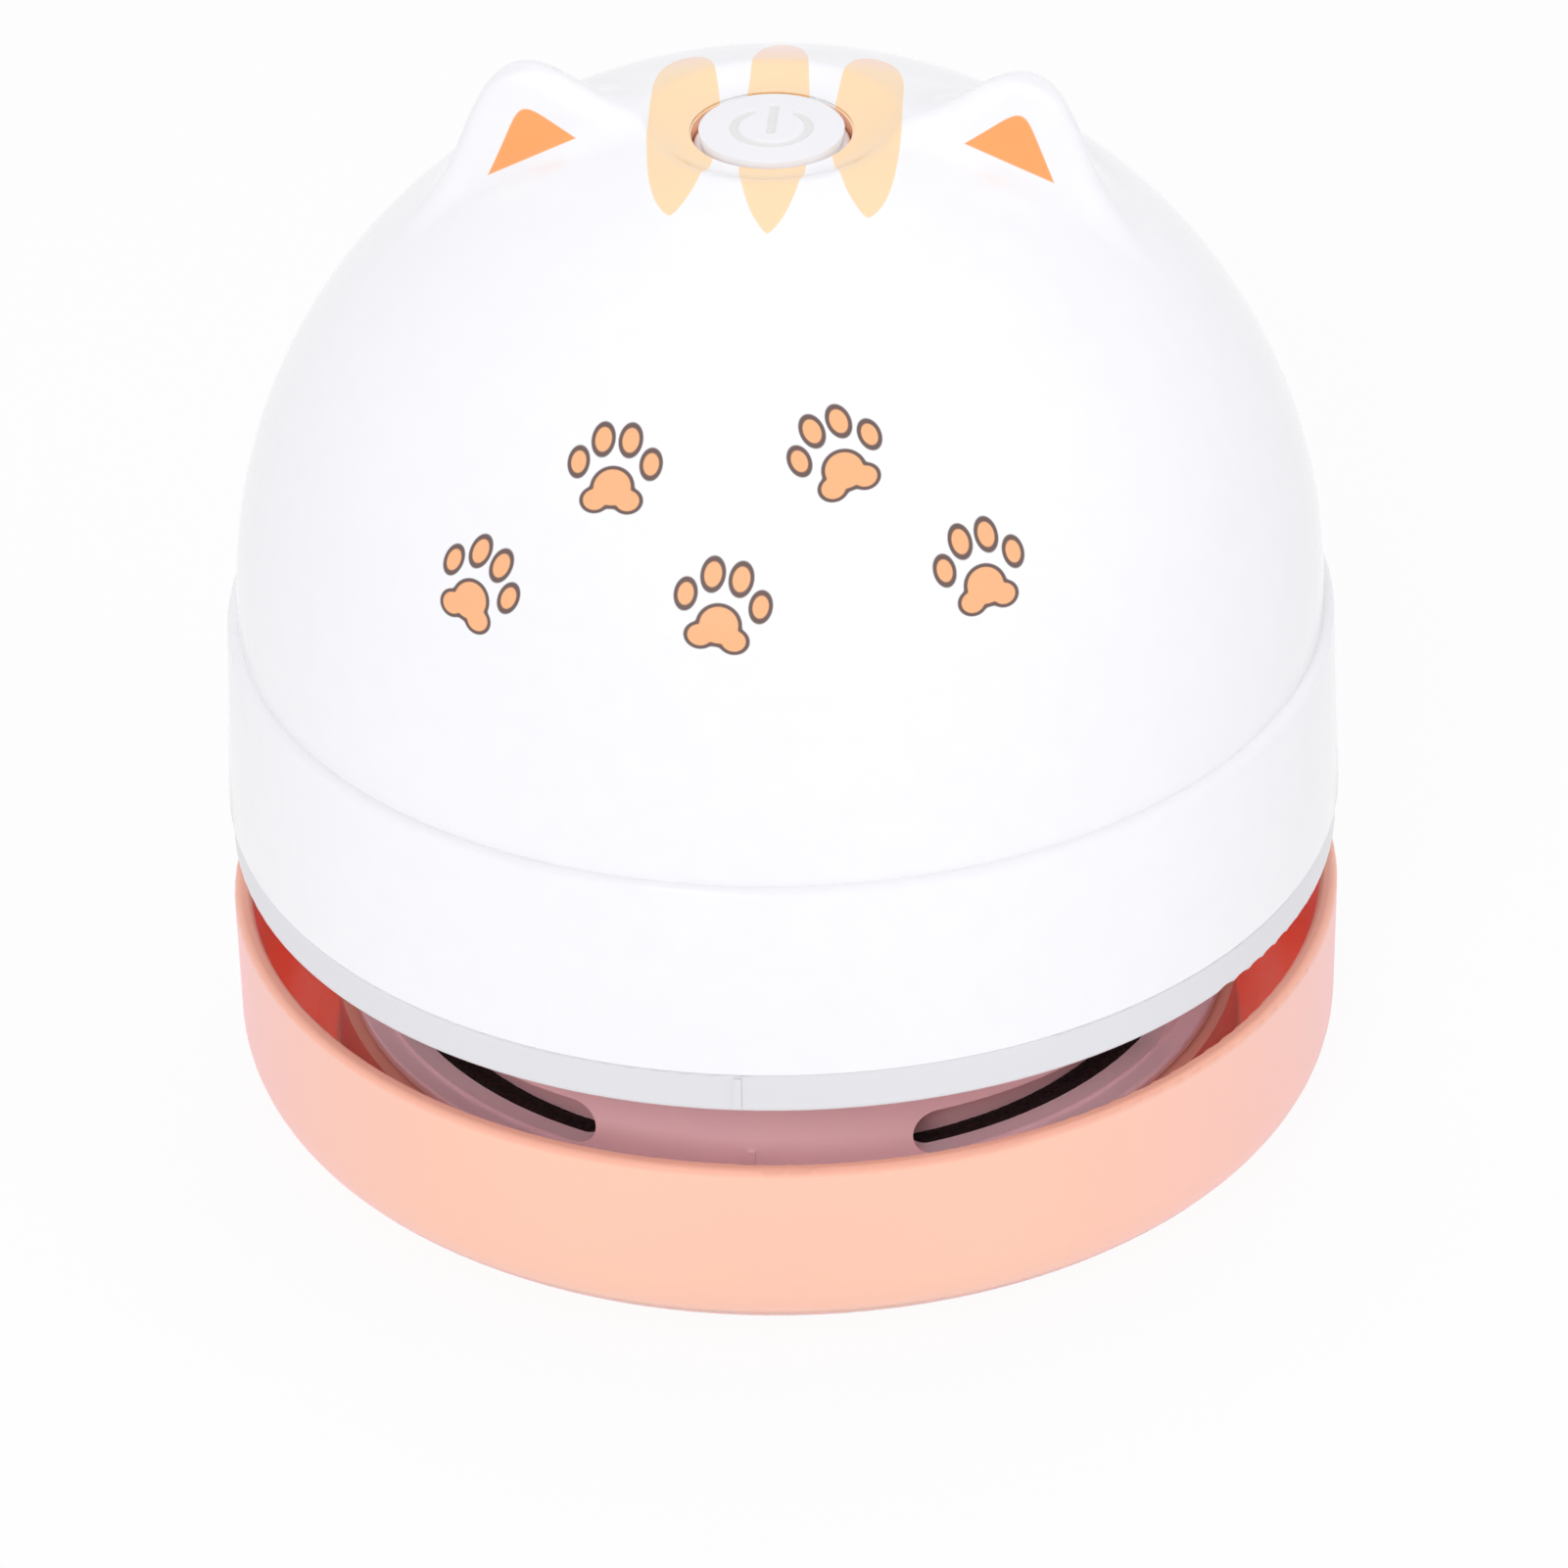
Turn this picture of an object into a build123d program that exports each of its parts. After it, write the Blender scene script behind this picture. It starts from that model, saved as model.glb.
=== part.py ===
from build123d import *
import math
import os

# Desktop mini vacuum cleaner with a domed, cat-eared shell on a peach dust cup.
# Millimetres, +Z up. The origin is the middle of the footprint on the desk, and
# the front, where the face is printed, looks along -Y.

# ---- shared allowances ---------------------------------------------------------------
front = -90.0              # direction of the front, in degrees from +X
past = 1.0                 # how far a cut runs past the face that it opens
bite = 0.1                 # how far joined shapes reach into each other
fit_gap = 0.2              # between moulded pieces that slip into each other
both_sides = (0.0, 180.0)  # directions of +X and -X, in degrees
body_radius = 46.0         # rim of the cup and foot of the skirt

# ---- dust cup ------------------------------------------------------------------------
cup_draft = 0.3            # how much narrower the wall is where the round begins
cup_wall = 1.5
cup_floor = 1.8
cup_height = 16.8          # underside to rim
cup_round = 6.0            # round between wall and underside
cup_rim_round = 0.45       # rounding of the rim's outer edge as a share of the wall
cup_rim_inner_round = 0.3
exhaust_channel = 6.8      # between the cup's wall and the wall round the dust room
inner_wall = 1.4
inlet_radius = 9.8         # bore that the crevice nozzle plugs into
inlet_wall = 1.5
inlet_lip = 2.6            # full-circle stretch at the mouth of the bore
inlet_height = 4.4
inlet_relief = 0.7         # room behind the lip where the nozzle's tabs hook in

foot_radius = 3.5
foot_proud = 0.6
foot_recess = 1.0
foot_inset = 15.0          # rim of the body to the middle of a foot
foot_count = 4
foot_round = 0.3

bristle_distance = 5.7     # inlet's wall to the middle of the two curved bristle strips
bristle_strip_width = 3.4
bristle_span = 110.0       # degrees that each strip covers
bristle_groove = 1.0
bristle_width = 2.2
bristle_clearance = 0.1    # tips to desk
bristle_strip_gap = 0.05   # strip to the groove's side
bristle_strip_end = 0.5    # degrees between strip and groove at each end
bristle_end = 2.0          # degrees between tufts and groove at each end

# ---- twist lock ----------------------------------------------------------------------
lug_count = 3
lug_span = 16.0            # degrees
lug_height = 1.0
lug_reach = 1.05
catch_span = 22.0          # degrees
catch_height = 1.3
catch_stop = 2.5           # degrees taken by the stop at the end of each catch
lock_clearance = 0.3
lock_room = 1.3            # neck to the wall round the dust room
lug_drop = 0.1             # neck's end to the lugs

# ---- motor deck with its ring and exhaust neck ---------------------------------------
exhaust_gap = 5.5          # cup rim to deck ring
ring_inset = 0.3           # ring inside the skirt's foot
ring_height = 3.6
ring_wall = 2.3
deck_plate = 2.2
lip_wall = 1.2
lip_height = 3.0
ring_low_round = 0.5
ring_high_round = 0.3
lip_round = 0.4
neck_wall = 1.6
neck_gap = 2.8             # neck end to cup floor
bead_reach = 1.8           # bead that seats the neck on the cup's inner wall
bead_height = 0.7
bead_round = 0.25
bead_drop = 0.3            # slots' lower edge to the bead's top
slot_count = 4
slot_height = 4.1
slot_span = 46.8           # degrees, round ends included
slot_rise = 7.9            # cup floor to the slots' lower edge
mark_width = 0.6           # raised lines on ring and neck that show the locked place
mark_proud = 0.25
mark_root = 0.75
mark_height = 2.1

# ---- fan -----------------------------------------------------------------------------
fan_side_gap = 2.0         # fan's rim to the housing
fan_hub_radius = 3.6
fan_hub_rise = 0.6         # hub's ends past the blades' foot and over the back plate
fan_hub_round = 0.8
fan_plate = 1.4
fan_plate_edge = 0.4       # chamfer round the back plate as a share of its height
fan_blades = 9
fan_blade_wall = 1.2
fan_blade_root = 11.0      # radius where the blades begin
fan_blade_sweep = 38.0     # degrees that a blade trails from root to tip
fan_blade_bend = 0.36      # share of the sweep reached halfway out
fan_tip_inset = 0.3
fan_eye_flat = 3.0         # level stretch of a blade's foot before it slopes up
fan_tip_lift = 2.4         # rise of the slope at the tip
fan_shaft_drop = 0.4       # shaft's end above the blades' foot
fan_floor_gap = 1.2        # blades to housing floor
fan_deck_gap = 2.5         # back plate to deck
gasket_width = 2.8         # housing to neck
housing_wall = 1.6
housing_floor = 1.0
eye_radius = 11.5
window_span = 21.0         # degrees
window_offset = 18.5       # degrees from the front to the first window's middle
window_height = 10.0
column_radius = 2.2
column_inset = 0.5         # column's axis inside the housing's outer face
column_offset = -6.0
gasket_height = 1.4
gasket_squeeze = 0.1       # foam's foot under the housing and over the filter

# ---- filter --------------------------------------------------------------------------
filter_grid = 0.7
filter_mesh_height = 0.3
filter_foam_height = 1.2
filter_rim_wall = 1.7
filter_hub_radius = 5.8
filter_hoop_radius = 19.4
filter_spokes = 6
filter_spoke_width = 1.6
filter_seat = 0.05         # mesh and foam to the rim

# ---- motor ---------------------------------------------------------------------------
motor_radius = 12.2
motor_length = 30.8
motor_wall = 0.8
motor_round = 0.8
motor_boss_radius = 3.07
motor_boss_height = 1.9
motor_bearing_height = 2.5 # bearing and screw seats inside the can
motor_seat_wall = 1.0
motor_cap_height = 4.0
motor_cap_spigot = 2.0
motor_cap_boss = 0.8
motor_bearing_cover = 1.6  # end cap's closed end over the shaft
motor_cap_gap = 0.05
motor_screw_pitch = 16.0
magnet_wall = 1.2
magnet_span = 130.0        # degrees
magnet_height = 18.0
magnet_rise = 4.2          # can's seat to the magnets
armature_hub = 3.5
armature_radius = 9.5
armature_height = 16.0
armature_poles = 3
pole_gap = 24.0            # degrees open between two pole shoes
pole_shoe = 2.2
pole_neck = 4.0
winding_height = 2.0
winding_wall = 1.3
winding_start = 4.0        # shaft's axis to the coils
winding_gap = 0.1
commutator_radius = 3.2
commutator_height = 2.6
commutator_slit = 0.4
commutator_slit_start = 2.2
commutator_gap = 0.4       # end cap's spigot to the commutator
shaft_radius = 1.0
shaft_chamfer = 0.3
shaft_clearance = 0.06
shaft_end_gap = 0.2
motor_rim_wall = 1.6
motor_rim_height = 4.0
terminal_width = 2.4
terminal_wall = 0.5
terminal_height = 4.0
terminal_spread = 7.6      # shaft's axis to a tab
terminal_gap = 0.05
terminal_eye = 0.6
terminal_eye_drop = 1.2

# ---- battery and circuit board -------------------------------------------------------
cell_radius = 7.1
cell_length = 50.0
cell_motor_gap = 0.6
cell_cap_radius = 2.8
cell_cap_height = 0.8
cell_round = 0.6
cradle_base = 1.2
cradle_wall = 2.0
cradle_rib_spacing = 30.0
cradle_arm_rise = 3.0      # how far the ribs hug the cell past its middle
cradle_rib_wall = 0.5
cradle_inset = 1.0         # cell's sides past the tray's
cradle_gap = 0.1
board_width = 24.0
board_length = 26.0
board_wall = 1.6
board_shell_gap = 2.8      # board's back edge to the skirt's inner wall
board_post_height = 6.0
board_post_radius = 2.2
board_screw_x = 9.0
board_screw_inset = 4.0
usb_width = 7.6
usb_height = 2.8
usb_depth = 5.6
usb_wall = 0.35
usb_corner = 0.8
usb_back_wall = 1.0
usb_tongue_width = 4.0
usb_tongue_length = 3.8
usb_tongue_wall = 0.6
usb_tongue_drop = 0.7
usb_recess = 1.0           # mouth of the socket to the outside of the skirt
port_margin = 0.5
port_round = 0.8
board_chips = (            # width, depth, height, x, and y from the board's middle
    (5.0, 4.0, 1.5, -3.5, 1.0),
    (6.0, 6.0, 3.0, 3.8, -2.0),
    (2.0, 1.25, 1.0, -3.5, -4.0),
    (2.0, 1.25, 1.0, -3.5, -7.0),
    (2.9, 1.6, 1.1, 4.5, 5.0),
)

# ---- top shell -----------------------------------------------------------------------
skirt_draft = 0.6
skirt_height = 16.9
skirt_round = 0.8
skirt_foot_round = 0.3
shell_wall = 2.0
ledge = 0.9                # step from the skirt in to the dome
dome_foot = 2.0            # upright stretch between ledge and dome
dome_rise = 43.3
boss_inset = 4.3           # shell's inner wall to a boss's axis
boss_radius = 3.1
boss_pad = 1.4
boss_angles = (-105.0, -75.0, 38.0, 142.0)

ear_reach = 19.4           # from the middle plane to the middle of the ear's foot
ear_lean = 25.9            # degrees outwards
ear_height = 7.1
ear_root = 5.0             # how far the ear's loft starts inside the dome
ear_half_width = 8.3       # at the ear's foot, on the dome
ear_tip_half_width = 1.6
ear_shift = -0.87          # middle of the section towards the dome's top, at the foot
ear_tip_shift = -2.1
ear_front = -1.3
ear_tip_front = 1.0
ear_back = 7.4
ear_tip_back = 3.4
ear_corner = 0.28          # corner rounding as a share of the section's smaller half
ear_tip_corner = 0.4
ear_tip_round = 0.8
ear_wall = 1.7
ear_core_drop = 4.2        # solid stretch from the tip down to the hollow
ear_blend = 1.6

# ---- button and switch ---------------------------------------------------------------
button_radius = 6.35
button_sink = 2.4          # face of the button under the dome's top
button_crown = 0.25
button_edge_round = 0.35
button_stem_wall = 1.4
button_travel = 1.8
button_clearance = 0.25
button_flange = 1.3
button_flange_height = 1.2
button_wall = 1.2
button_stroke_gap = 0.3    # flange to collar, at rest
dish_radius = 10.0
dish_depth = 3.5           # under the dome's top
dish_land = 0.2            # level stretch between dish and bore
dish_sag = 0.5
symbol_radius = 3.4        # engraved power symbol
symbol_width = 0.55
symbol_depth = 0.2
symbol_opening = 76.0      # degrees left open at the back
symbol_bar_length = 4.2
symbol_bar_middle = 1.9
collar_radius = 11.6
collar_depth = 6.1
switch_side = 8.0
switch_height = 8.0
switch_corner = 0.5
plunger_side = 3.2
plunger_height = 7.0
plunger_engaged = 3.4      # length inside the switch, at rest
plunger_gap = 0.1
plunger_bottom_gap = 0.3
switch_board_length = 34.0
switch_board_width = 12.0
switch_board_wall = 1.2
switch_board_corner = 1.5
switch_post_x = 13.5
switch_post_radius = 2.5

# ---- screws --------------------------------------------------------------------------
screw_radius = 1.1
screw_head_radius = 1.9
screw_head_height = 1.4
screw_head_round = 0.4     # as a share of the head's height
screw_slot_width = 0.5
screw_slot_depth = 0.5
screw_slot_length = 2.5
screw_tip_chamfer = 0.5    # as a share of the shank's radius
screw_tip_room = 0.5       # hole past a screw's tip
screw_clearance = 0.25
shell_screw_length = 11.0
housing_screw_length = 18.0
motor_screw_length = 3.8
board_screw_length = 5.0
switch_screw_length = 6.0
thread_gap = 0.02          # thread to its pilot hole

# ---- radii and heights worked out from the sizes above -------------------------------
inner_wall_radius = body_radius - cup_wall - exhaust_channel
dust_room_radius = inner_wall_radius - inner_wall
bristle_radius = inlet_radius + inlet_wall + bristle_distance
foot_circle = body_radius - foot_inset
ring_radius = body_radius - ring_inset
neck_radius = dust_room_radius - lock_room
neck_bore = neck_radius - neck_wall
housing_radius = neck_bore - gasket_width
fan_radius = housing_radius - housing_wall - fan_side_gap
filter_radius = neck_bore - fit_gap / 2
skirt_top_radius = body_radius - skirt_draft
dome_radius = skirt_top_radius - ledge
boss_circle = dome_radius - shell_wall - boss_inset

cup_bottom = foot_proud
floor_top = cup_bottom + cup_floor
rim_top = cup_bottom + cup_height
deck_bottom = rim_top + exhaust_gap
deck_top = deck_bottom + deck_plate
ring_top = deck_bottom + ring_height
neck_bottom = floor_top + neck_gap
slot_bottom = floor_top + slot_rise
ledge_top = ring_top + skirt_height
dome_spring = ledge_top + dome_foot
dome_top = dome_spring + dome_rise

bead_top = slot_bottom - bead_drop
bead_bottom = bead_top - bead_height
inner_wall_top = bead_bottom - lock_clearance
lug_bottom = neck_bottom + lug_drop
lug_top = lug_bottom + lug_height
catch_bottom = lug_top + lock_clearance

gasket_bottom = slot_bottom - gasket_height
housing_bottom = gasket_bottom + gasket_squeeze
housing_top = deck_bottom
filter_top = gasket_bottom - gasket_squeeze
filter_bottom = filter_top - filter_foam_height - filter_mesh_height - filter_grid

fan_top = deck_bottom - fan_deck_gap
fan_blade_top = fan_top - fan_plate
fan_bottom = housing_bottom + housing_floor + fan_floor_gap

motor_top = deck_top + motor_length
cap_bottom = motor_top - motor_cap_height
shaft_bottom = fan_bottom + fan_shaft_drop
shaft_top = motor_top + motor_cap_boss - motor_bearing_cover
magnet_bottom = deck_top + magnet_rise
armature_bottom = magnet_bottom + (magnet_height - armature_height) / 2

cell_y = -(motor_radius + motor_rim_wall + 2 * cell_motor_gap + cell_radius)
cell_z = deck_top + cradle_base + cell_radius
board_bottom = deck_top + board_post_height
board_top = board_bottom + board_wall
board_back = body_radius - shell_wall - board_shell_gap
usb_mouth = body_radius - usb_recess

button_face = dome_top - button_sink
collar_bottom = dome_top - collar_depth
flange_top = collar_bottom - button_stroke_gap
flange_bottom = flange_top - button_flange_height
plunger_bottom = flange_bottom - plunger_height
switch_top = plunger_bottom + plunger_engaged
switch_bottom = switch_top - switch_height
switch_board_bottom = switch_bottom - switch_board_wall


# ---- shared shapes -------------------------------------------------------------------
def ring(outer, inner, low, high):
    """Round band between two radii and two heights."""
    band = Cylinder(outer, high - low, align=(Align.CENTER, Align.CENTER, Align.MIN))
    if inner > 0:
        band -= Cylinder(inner, high - low, align=(Align.CENTER, Align.CENTER, Align.MIN))
    return Pos(0, 0, low) * band


def block(width, depth, low, high, x=0.0, y=0.0):
    """Upright block centred on x, y."""
    solid = Box(width, depth, high - low, align=(Align.CENTER, Align.CENTER, Align.MIN))
    return Pos(x, y, low) * solid


def post(radius, low, high, x=0.0, y=0.0):
    """Upright cylinder at x, y."""
    return Pos(x, y, 0) * ring(radius, 0, low, high)


def sector(outer, inner, low, high, middle, span):
    """Less than half of a round band, span degrees wide about a direction from +X."""
    reach = 2 * outer
    half = math.radians(span / 2)
    wedge = make_face(Polyline(
        (0, 0),
        (reach * math.cos(half), -reach * math.sin(half)),
        (2 * reach, 0),
        (reach * math.cos(half), reach * math.sin(half)),
        close=True,
    ))
    prism = Pos(0, 0, low) * extrude(wedge, high - low)
    return ring(outer, inner, low, high) & (Rot(0, 0, middle) * prism)


def at_angle(radius, angle):
    """Point at a radius and an angle in degrees from +X."""
    turn = math.radians(angle)
    return radius * math.cos(turn), radius * math.sin(turn)


def turned(corners):
    """Solid of revolution from a closed outline of (radius, height, rounding) corners."""
    outline = make_face(Plane.XZ * Polyline(*[(r, z) for r, z, _ in corners], close=True))
    for r, z, rounding in corners:
        if rounding > 0:
            corner = outline.vertices().sort_by_distance((r, 0, z))[0]
            outline = fillet(corner, rounding)
    return revolve(outline, Axis.Z)


def screw(length, head_at, x, y, up=True):
    """Pan-head screw whose head starts at a height and whose shank points up or down."""
    head = ring(screw_head_radius, 0, 0, screw_head_height)
    head = fillet(head.edges().sort_by(Axis.Z)[0], screw_head_height * screw_head_round)
    slot = block(screw_slot_length, screw_slot_width, 0, screw_slot_depth)
    head -= slot + Rot(0, 0, 90) * slot
    shank = ring(screw_radius, 0, screw_head_height, screw_head_height + length)
    shank = chamfer(shank.edges().sort_by(Axis.Z)[-1], screw_radius * screw_tip_chamfer)
    whole = head + shank
    if not up:
        whole = Rot(180, 0, 0) * whole
    return Pos(x, y, head_at) * whole


def pilot(length, head_at, x, y):
    """Hole that the thread of a screw pointing up bites into."""
    tip = head_at + screw_head_height + length
    return post(screw_radius + thread_gap, head_at, tip + screw_tip_room, x, y)


def shell_screw_places():
    return [at_angle(boss_circle, angle) for angle in boss_angles]


def housing_screw_places():
    column_circle = housing_radius - column_inset
    step = 360 / slot_count
    return [at_angle(column_circle, front + column_offset + step * k) for k in range(slot_count)]


def motor_screw_places():
    return [(-motor_screw_pitch / 2, 0), (motor_screw_pitch / 2, 0)]


def switch_screw_places():
    return [(-switch_post_x, 0), (switch_post_x, 0)]


def board_screw_places():
    front = board_back - board_length + board_screw_inset
    back = board_back - board_screw_inset
    return [(x, y) for x in (-board_screw_x, board_screw_x) for y in (front, back)]


# ---- lower unit ----------------------------------------------------------------------
def make_dust_cup():
    """Peach cup: outer wall, dust room wall with the lock's catches, nozzle bore."""
    bowl = turned([
        (0, cup_bottom, 0),
        (body_radius - cup_draft, cup_bottom, cup_round),
        (body_radius, rim_top, cup_wall * cup_rim_round),
        (body_radius - cup_wall, rim_top, cup_wall * cup_rim_inner_round),
        (body_radius - cup_wall - cup_draft, floor_top, cup_round - cup_wall),
        (0, floor_top, 0),
    ])
    dust_wall = ring(inner_wall_radius, dust_room_radius, floor_top, inner_wall_top)
    socket = ring(inlet_radius + inlet_wall, 0, cup_bottom, cup_bottom + inlet_height)
    cup = bowl + dust_wall + socket
    cup -= ring(inlet_radius, 0, cup_bottom - past, cup_bottom + inlet_height + past)
    cup -= ring(inlet_radius + inlet_relief, 0, cup_bottom + inlet_lip, cup_bottom + inlet_height + past)
    catch_top = catch_bottom + catch_height
    catch_inner = neck_radius + lock_clearance
    catch_outer = dust_room_radius + bite
    for middle in lug_angles():
        cup += sector(catch_outer, catch_inner, catch_bottom, catch_top, middle, catch_span)
        stop_middle = middle - (catch_span - catch_stop) / 2
        cup += sector(catch_outer, catch_inner, lug_bottom, catch_bottom, stop_middle, catch_stop)
    for x, y in foot_places():
        cup -= post(foot_radius + fit_gap / 2, cup_bottom - past, cup_bottom + foot_recess, x, y)
    half = bristle_strip_width / 2
    for middle in both_sides:
        cup -= sector(bristle_radius + half, bristle_radius - half, cup_bottom - past,
                      cup_bottom + bristle_groove, middle, bristle_span)
    return cup


def lug_angles():
    """Directions of the twist lock's lugs, the first of them at the back."""
    return [-front + 360 / lug_count * k for k in range(lug_count)]


def foot_places():
    step = 360 / foot_count
    return [at_angle(foot_circle, front + step * (k + 0.5)) for k in range(foot_count)]


def make_feet():
    """Rubber pads glued into recesses under the cup."""
    pad = ring(foot_radius, 0, 0, foot_proud + foot_recess)
    pad = fillet(pad.edges().sort_by(Axis.Z)[0], foot_round)
    return [Pos(x, y, 0) * pad for x, y in foot_places()]


def make_bristle_strips():
    """Curved bars that hold the bristles, pressed into grooves beside the inlet."""
    half = bristle_strip_width / 2 - bristle_strip_gap
    span = bristle_span - 2 * bristle_strip_end
    return [sector(bristle_radius + half, bristle_radius - half, cup_bottom + bite,
                   cup_bottom + bristle_groove, middle, span) for middle in both_sides]


def make_bristles():
    """Plain solids of the bristle tufts' outer shape."""
    half = bristle_width / 2
    span = bristle_span - 2 * bristle_end
    return [sector(bristle_radius + half, bristle_radius - half, bristle_clearance,
                   cup_bottom + bite, middle, span) for middle in both_sides]


# ---- motor deck ----------------------------------------------------------------------
def make_motor_deck():
    """Grey deck: outer ring, plate, exhaust neck with slots and lock lugs, motor rim and posts."""
    deck = turned([
        (neck_bore, deck_bottom, 0),
        (ring_radius, deck_bottom, ring_low_round),
        (ring_radius, ring_top, ring_high_round),
        (ring_radius - ring_wall, ring_top, 0),
        (ring_radius - ring_wall, ring_top + lip_height, lip_round),
        (ring_radius - ring_wall - lip_wall, ring_top + lip_height, 0),
        (ring_radius - ring_wall - lip_wall, deck_top, 0),
        (neck_bore, deck_top, 0),
    ])
    deck += ring(neck_bore + bite, 0, deck_bottom, deck_top)
    neck = turned([
        (neck_bore, neck_bottom, 0),
        (neck_radius, neck_bottom, 0),
        (neck_radius, bead_bottom, 0),
        (neck_radius + bead_reach, bead_bottom, 0),
        (neck_radius + bead_reach, bead_top, bead_round),
        (neck_radius, bead_top, 0),
        (neck_radius, deck_bottom + bite, 0),
        (neck_bore, deck_bottom + bite, 0),
    ])
    deck += neck
    end_round = math.degrees(slot_height / 2 / neck_radius)
    slot_middle = slot_bottom + slot_height / 2
    for k in range(slot_count):
        middle = front + 360 / slot_count * (k + 0.5)
        deck -= sector(neck_radius + past, neck_bore - past, slot_bottom, slot_bottom + slot_height,
                       middle, slot_span - 2 * end_round)
        for side in (-1, 1):
            turn = middle + side * (slot_span / 2 - end_round)
            drill = Rot(0, 90, 0) * Cylinder(slot_height / 2, neck_wall + 2 * past)
            deck -= Rot(0, 0, turn) * Pos(neck_radius - neck_wall / 2, 0, slot_middle) * drill
    for middle in lug_angles():
        deck += sector(neck_radius + lug_reach, neck_radius - bite, lug_bottom, lug_top, middle, lug_span)
    mark_depth = mark_root + mark_proud
    mark_middle = mark_proud - mark_depth / 2
    deck += block(mark_width, mark_depth, deck_bottom + ring_low_round, ring_top - ring_high_round,
                  0, -(ring_radius + mark_middle))
    deck += block(mark_width, mark_depth, bead_top - bite, bead_top + mark_height,
                  0, -(neck_radius + mark_middle))

    rim_bore = motor_radius + fit_gap / 2
    deck += ring(rim_bore + motor_rim_wall, rim_bore, deck_top - bite, deck_top + motor_rim_height)
    deck -= ring(motor_boss_radius + fit_gap / 2, 0, deck_bottom - past, deck_top + past)
    hole, head_hole = screw_radius + screw_clearance, screw_head_radius + screw_clearance
    for x, y in motor_screw_places():
        deck -= post(hole, deck_bottom - past, deck_top + past, x, y)
    board_pilot_bottom = board_top - board_screw_length - screw_tip_room
    for x, y in board_screw_places():
        deck += post(board_post_radius, deck_top - bite, board_bottom, x, y)
        deck -= post(screw_radius + thread_gap, board_pilot_bottom, board_bottom + past, x, y)
    for x, y in shell_screw_places():
        deck += post(boss_radius, deck_top - bite, deck_top + boss_pad, x, y)
        deck -= post(hole, deck_bottom - past, deck_top + boss_pad + past, x, y)
        deck -= post(head_hole, deck_bottom - past, deck_bottom + screw_head_height, x, y)
    column_top = housing_bottom + screw_head_height + housing_screw_length + bite
    for x, y in housing_screw_places():
        deck += post(column_radius, deck_top - bite, column_top, x, y)
        deck -= pilot(housing_screw_length, housing_bottom, x, y)
    return deck


# ---- fan and filter ------------------------------------------------------------------
def make_fan_housing():
    """White cup round the fan: inlet eye below, four exit windows, four screw columns."""
    housing = ring(housing_radius, 0, housing_bottom, housing_top)
    housing -= ring(housing_radius - housing_wall, 0, housing_bottom + housing_floor, housing_top + past)
    housing -= ring(eye_radius, 0, housing_bottom - past, housing_top)
    for k in range(slot_count):
        middle = front + window_offset + 360 / slot_count * k
        housing -= sector(housing_radius + past, housing_radius - housing_wall - past,
                          fan_bottom, fan_bottom + window_height, middle, window_span)
    for x, y in housing_screw_places():
        housing += post(column_radius, housing_bottom, housing_top, x, y)
        housing -= post(screw_radius + screw_clearance, housing_bottom - past, housing_top + past, x, y)
        housing -= post(screw_head_radius + screw_clearance, housing_bottom - past,
                        housing_bottom + screw_head_height, x, y)
    return housing


def make_exhaust_gasket():
    """Black foam ring between housing and neck, under the slots."""
    gasket = ring(neck_bore - fit_gap / 2, housing_radius + fit_gap / 2, gasket_bottom, slot_bottom)
    for x, y in housing_screw_places():
        gasket -= post(column_radius + fit_gap, gasket_bottom - past, slot_bottom + past, x, y)
    return gasket


def make_filter_frame():
    """White rim with a spoked floor, pushed into the end of the neck."""
    inner = filter_radius - filter_rim_wall
    grid_top = filter_bottom + filter_grid
    frame = ring(filter_radius, inner, filter_bottom, filter_top)
    for radius in (filter_hub_radius, filter_hoop_radius):
        frame += ring(radius, radius - filter_spoke_width, filter_bottom, grid_top)
    spoke_start = filter_hub_radius - filter_spoke_width / 2
    spoke_length = inner + bite - spoke_start
    for k in range(filter_spokes):
        spoke = block(spoke_length, filter_spoke_width, filter_bottom, grid_top,
                      spoke_start + spoke_length / 2)
        frame += Rot(0, 0, 360 / filter_spokes * k) * spoke
    return frame


def make_filter_mesh():
    low = filter_bottom + filter_grid
    return ring(filter_radius - filter_rim_wall - filter_seat, 0, low, low + filter_mesh_height)


def make_filter_foam():
    low = filter_top - filter_foam_height
    return ring(filter_radius - filter_rim_wall - filter_seat, 0, low, filter_top)


def make_impeller():
    """Centrifugal fan: hub, back plate and blades that trail the turn."""
    fan = ring(fan_radius, 0, fan_blade_top, fan_top)
    fan = chamfer(fan.edges().group_by(Axis.Z)[-1], fan_plate * fan_plate_edge)
    hub = ring(fan_hub_radius, 0, fan_bottom + fan_hub_rise, fan_top + fan_hub_rise)
    fan += fillet(hub.edges().sort_by(Axis.Z)[0], fan_hub_round)
    tip_radius = fan_radius - fan_tip_inset
    middle_radius = (fan_blade_root + tip_radius) / 2
    spine = ThreePointArc(
        at_angle(fan_blade_root, 0),
        at_angle(middle_radius, fan_blade_sweep * fan_blade_bend),
        at_angle(tip_radius, fan_blade_sweep),
    )
    outline = trace(spine, fan_blade_wall)
    blade = Pos(0, 0, fan_bottom) * extrude(outline, fan_blade_top - fan_bottom + bite)
    slope = turned([
        (0, fan_bottom - past, 0),
        (fan_radius + past, fan_bottom - past, 0),
        (fan_radius + past, fan_bottom + fan_tip_lift, 0),
        (fan_blade_root + fan_eye_flat, fan_bottom, 0),
        (0, fan_bottom, 0),
    ])
    blade -= slope
    for k in range(fan_blades):
        fan += Rot(0, 0, 360 / fan_blades * k) * blade
    fan -= ring(shaft_radius, 0, fan_bottom - past, fan_top + fan_hub_rise + past)
    return fan


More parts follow.
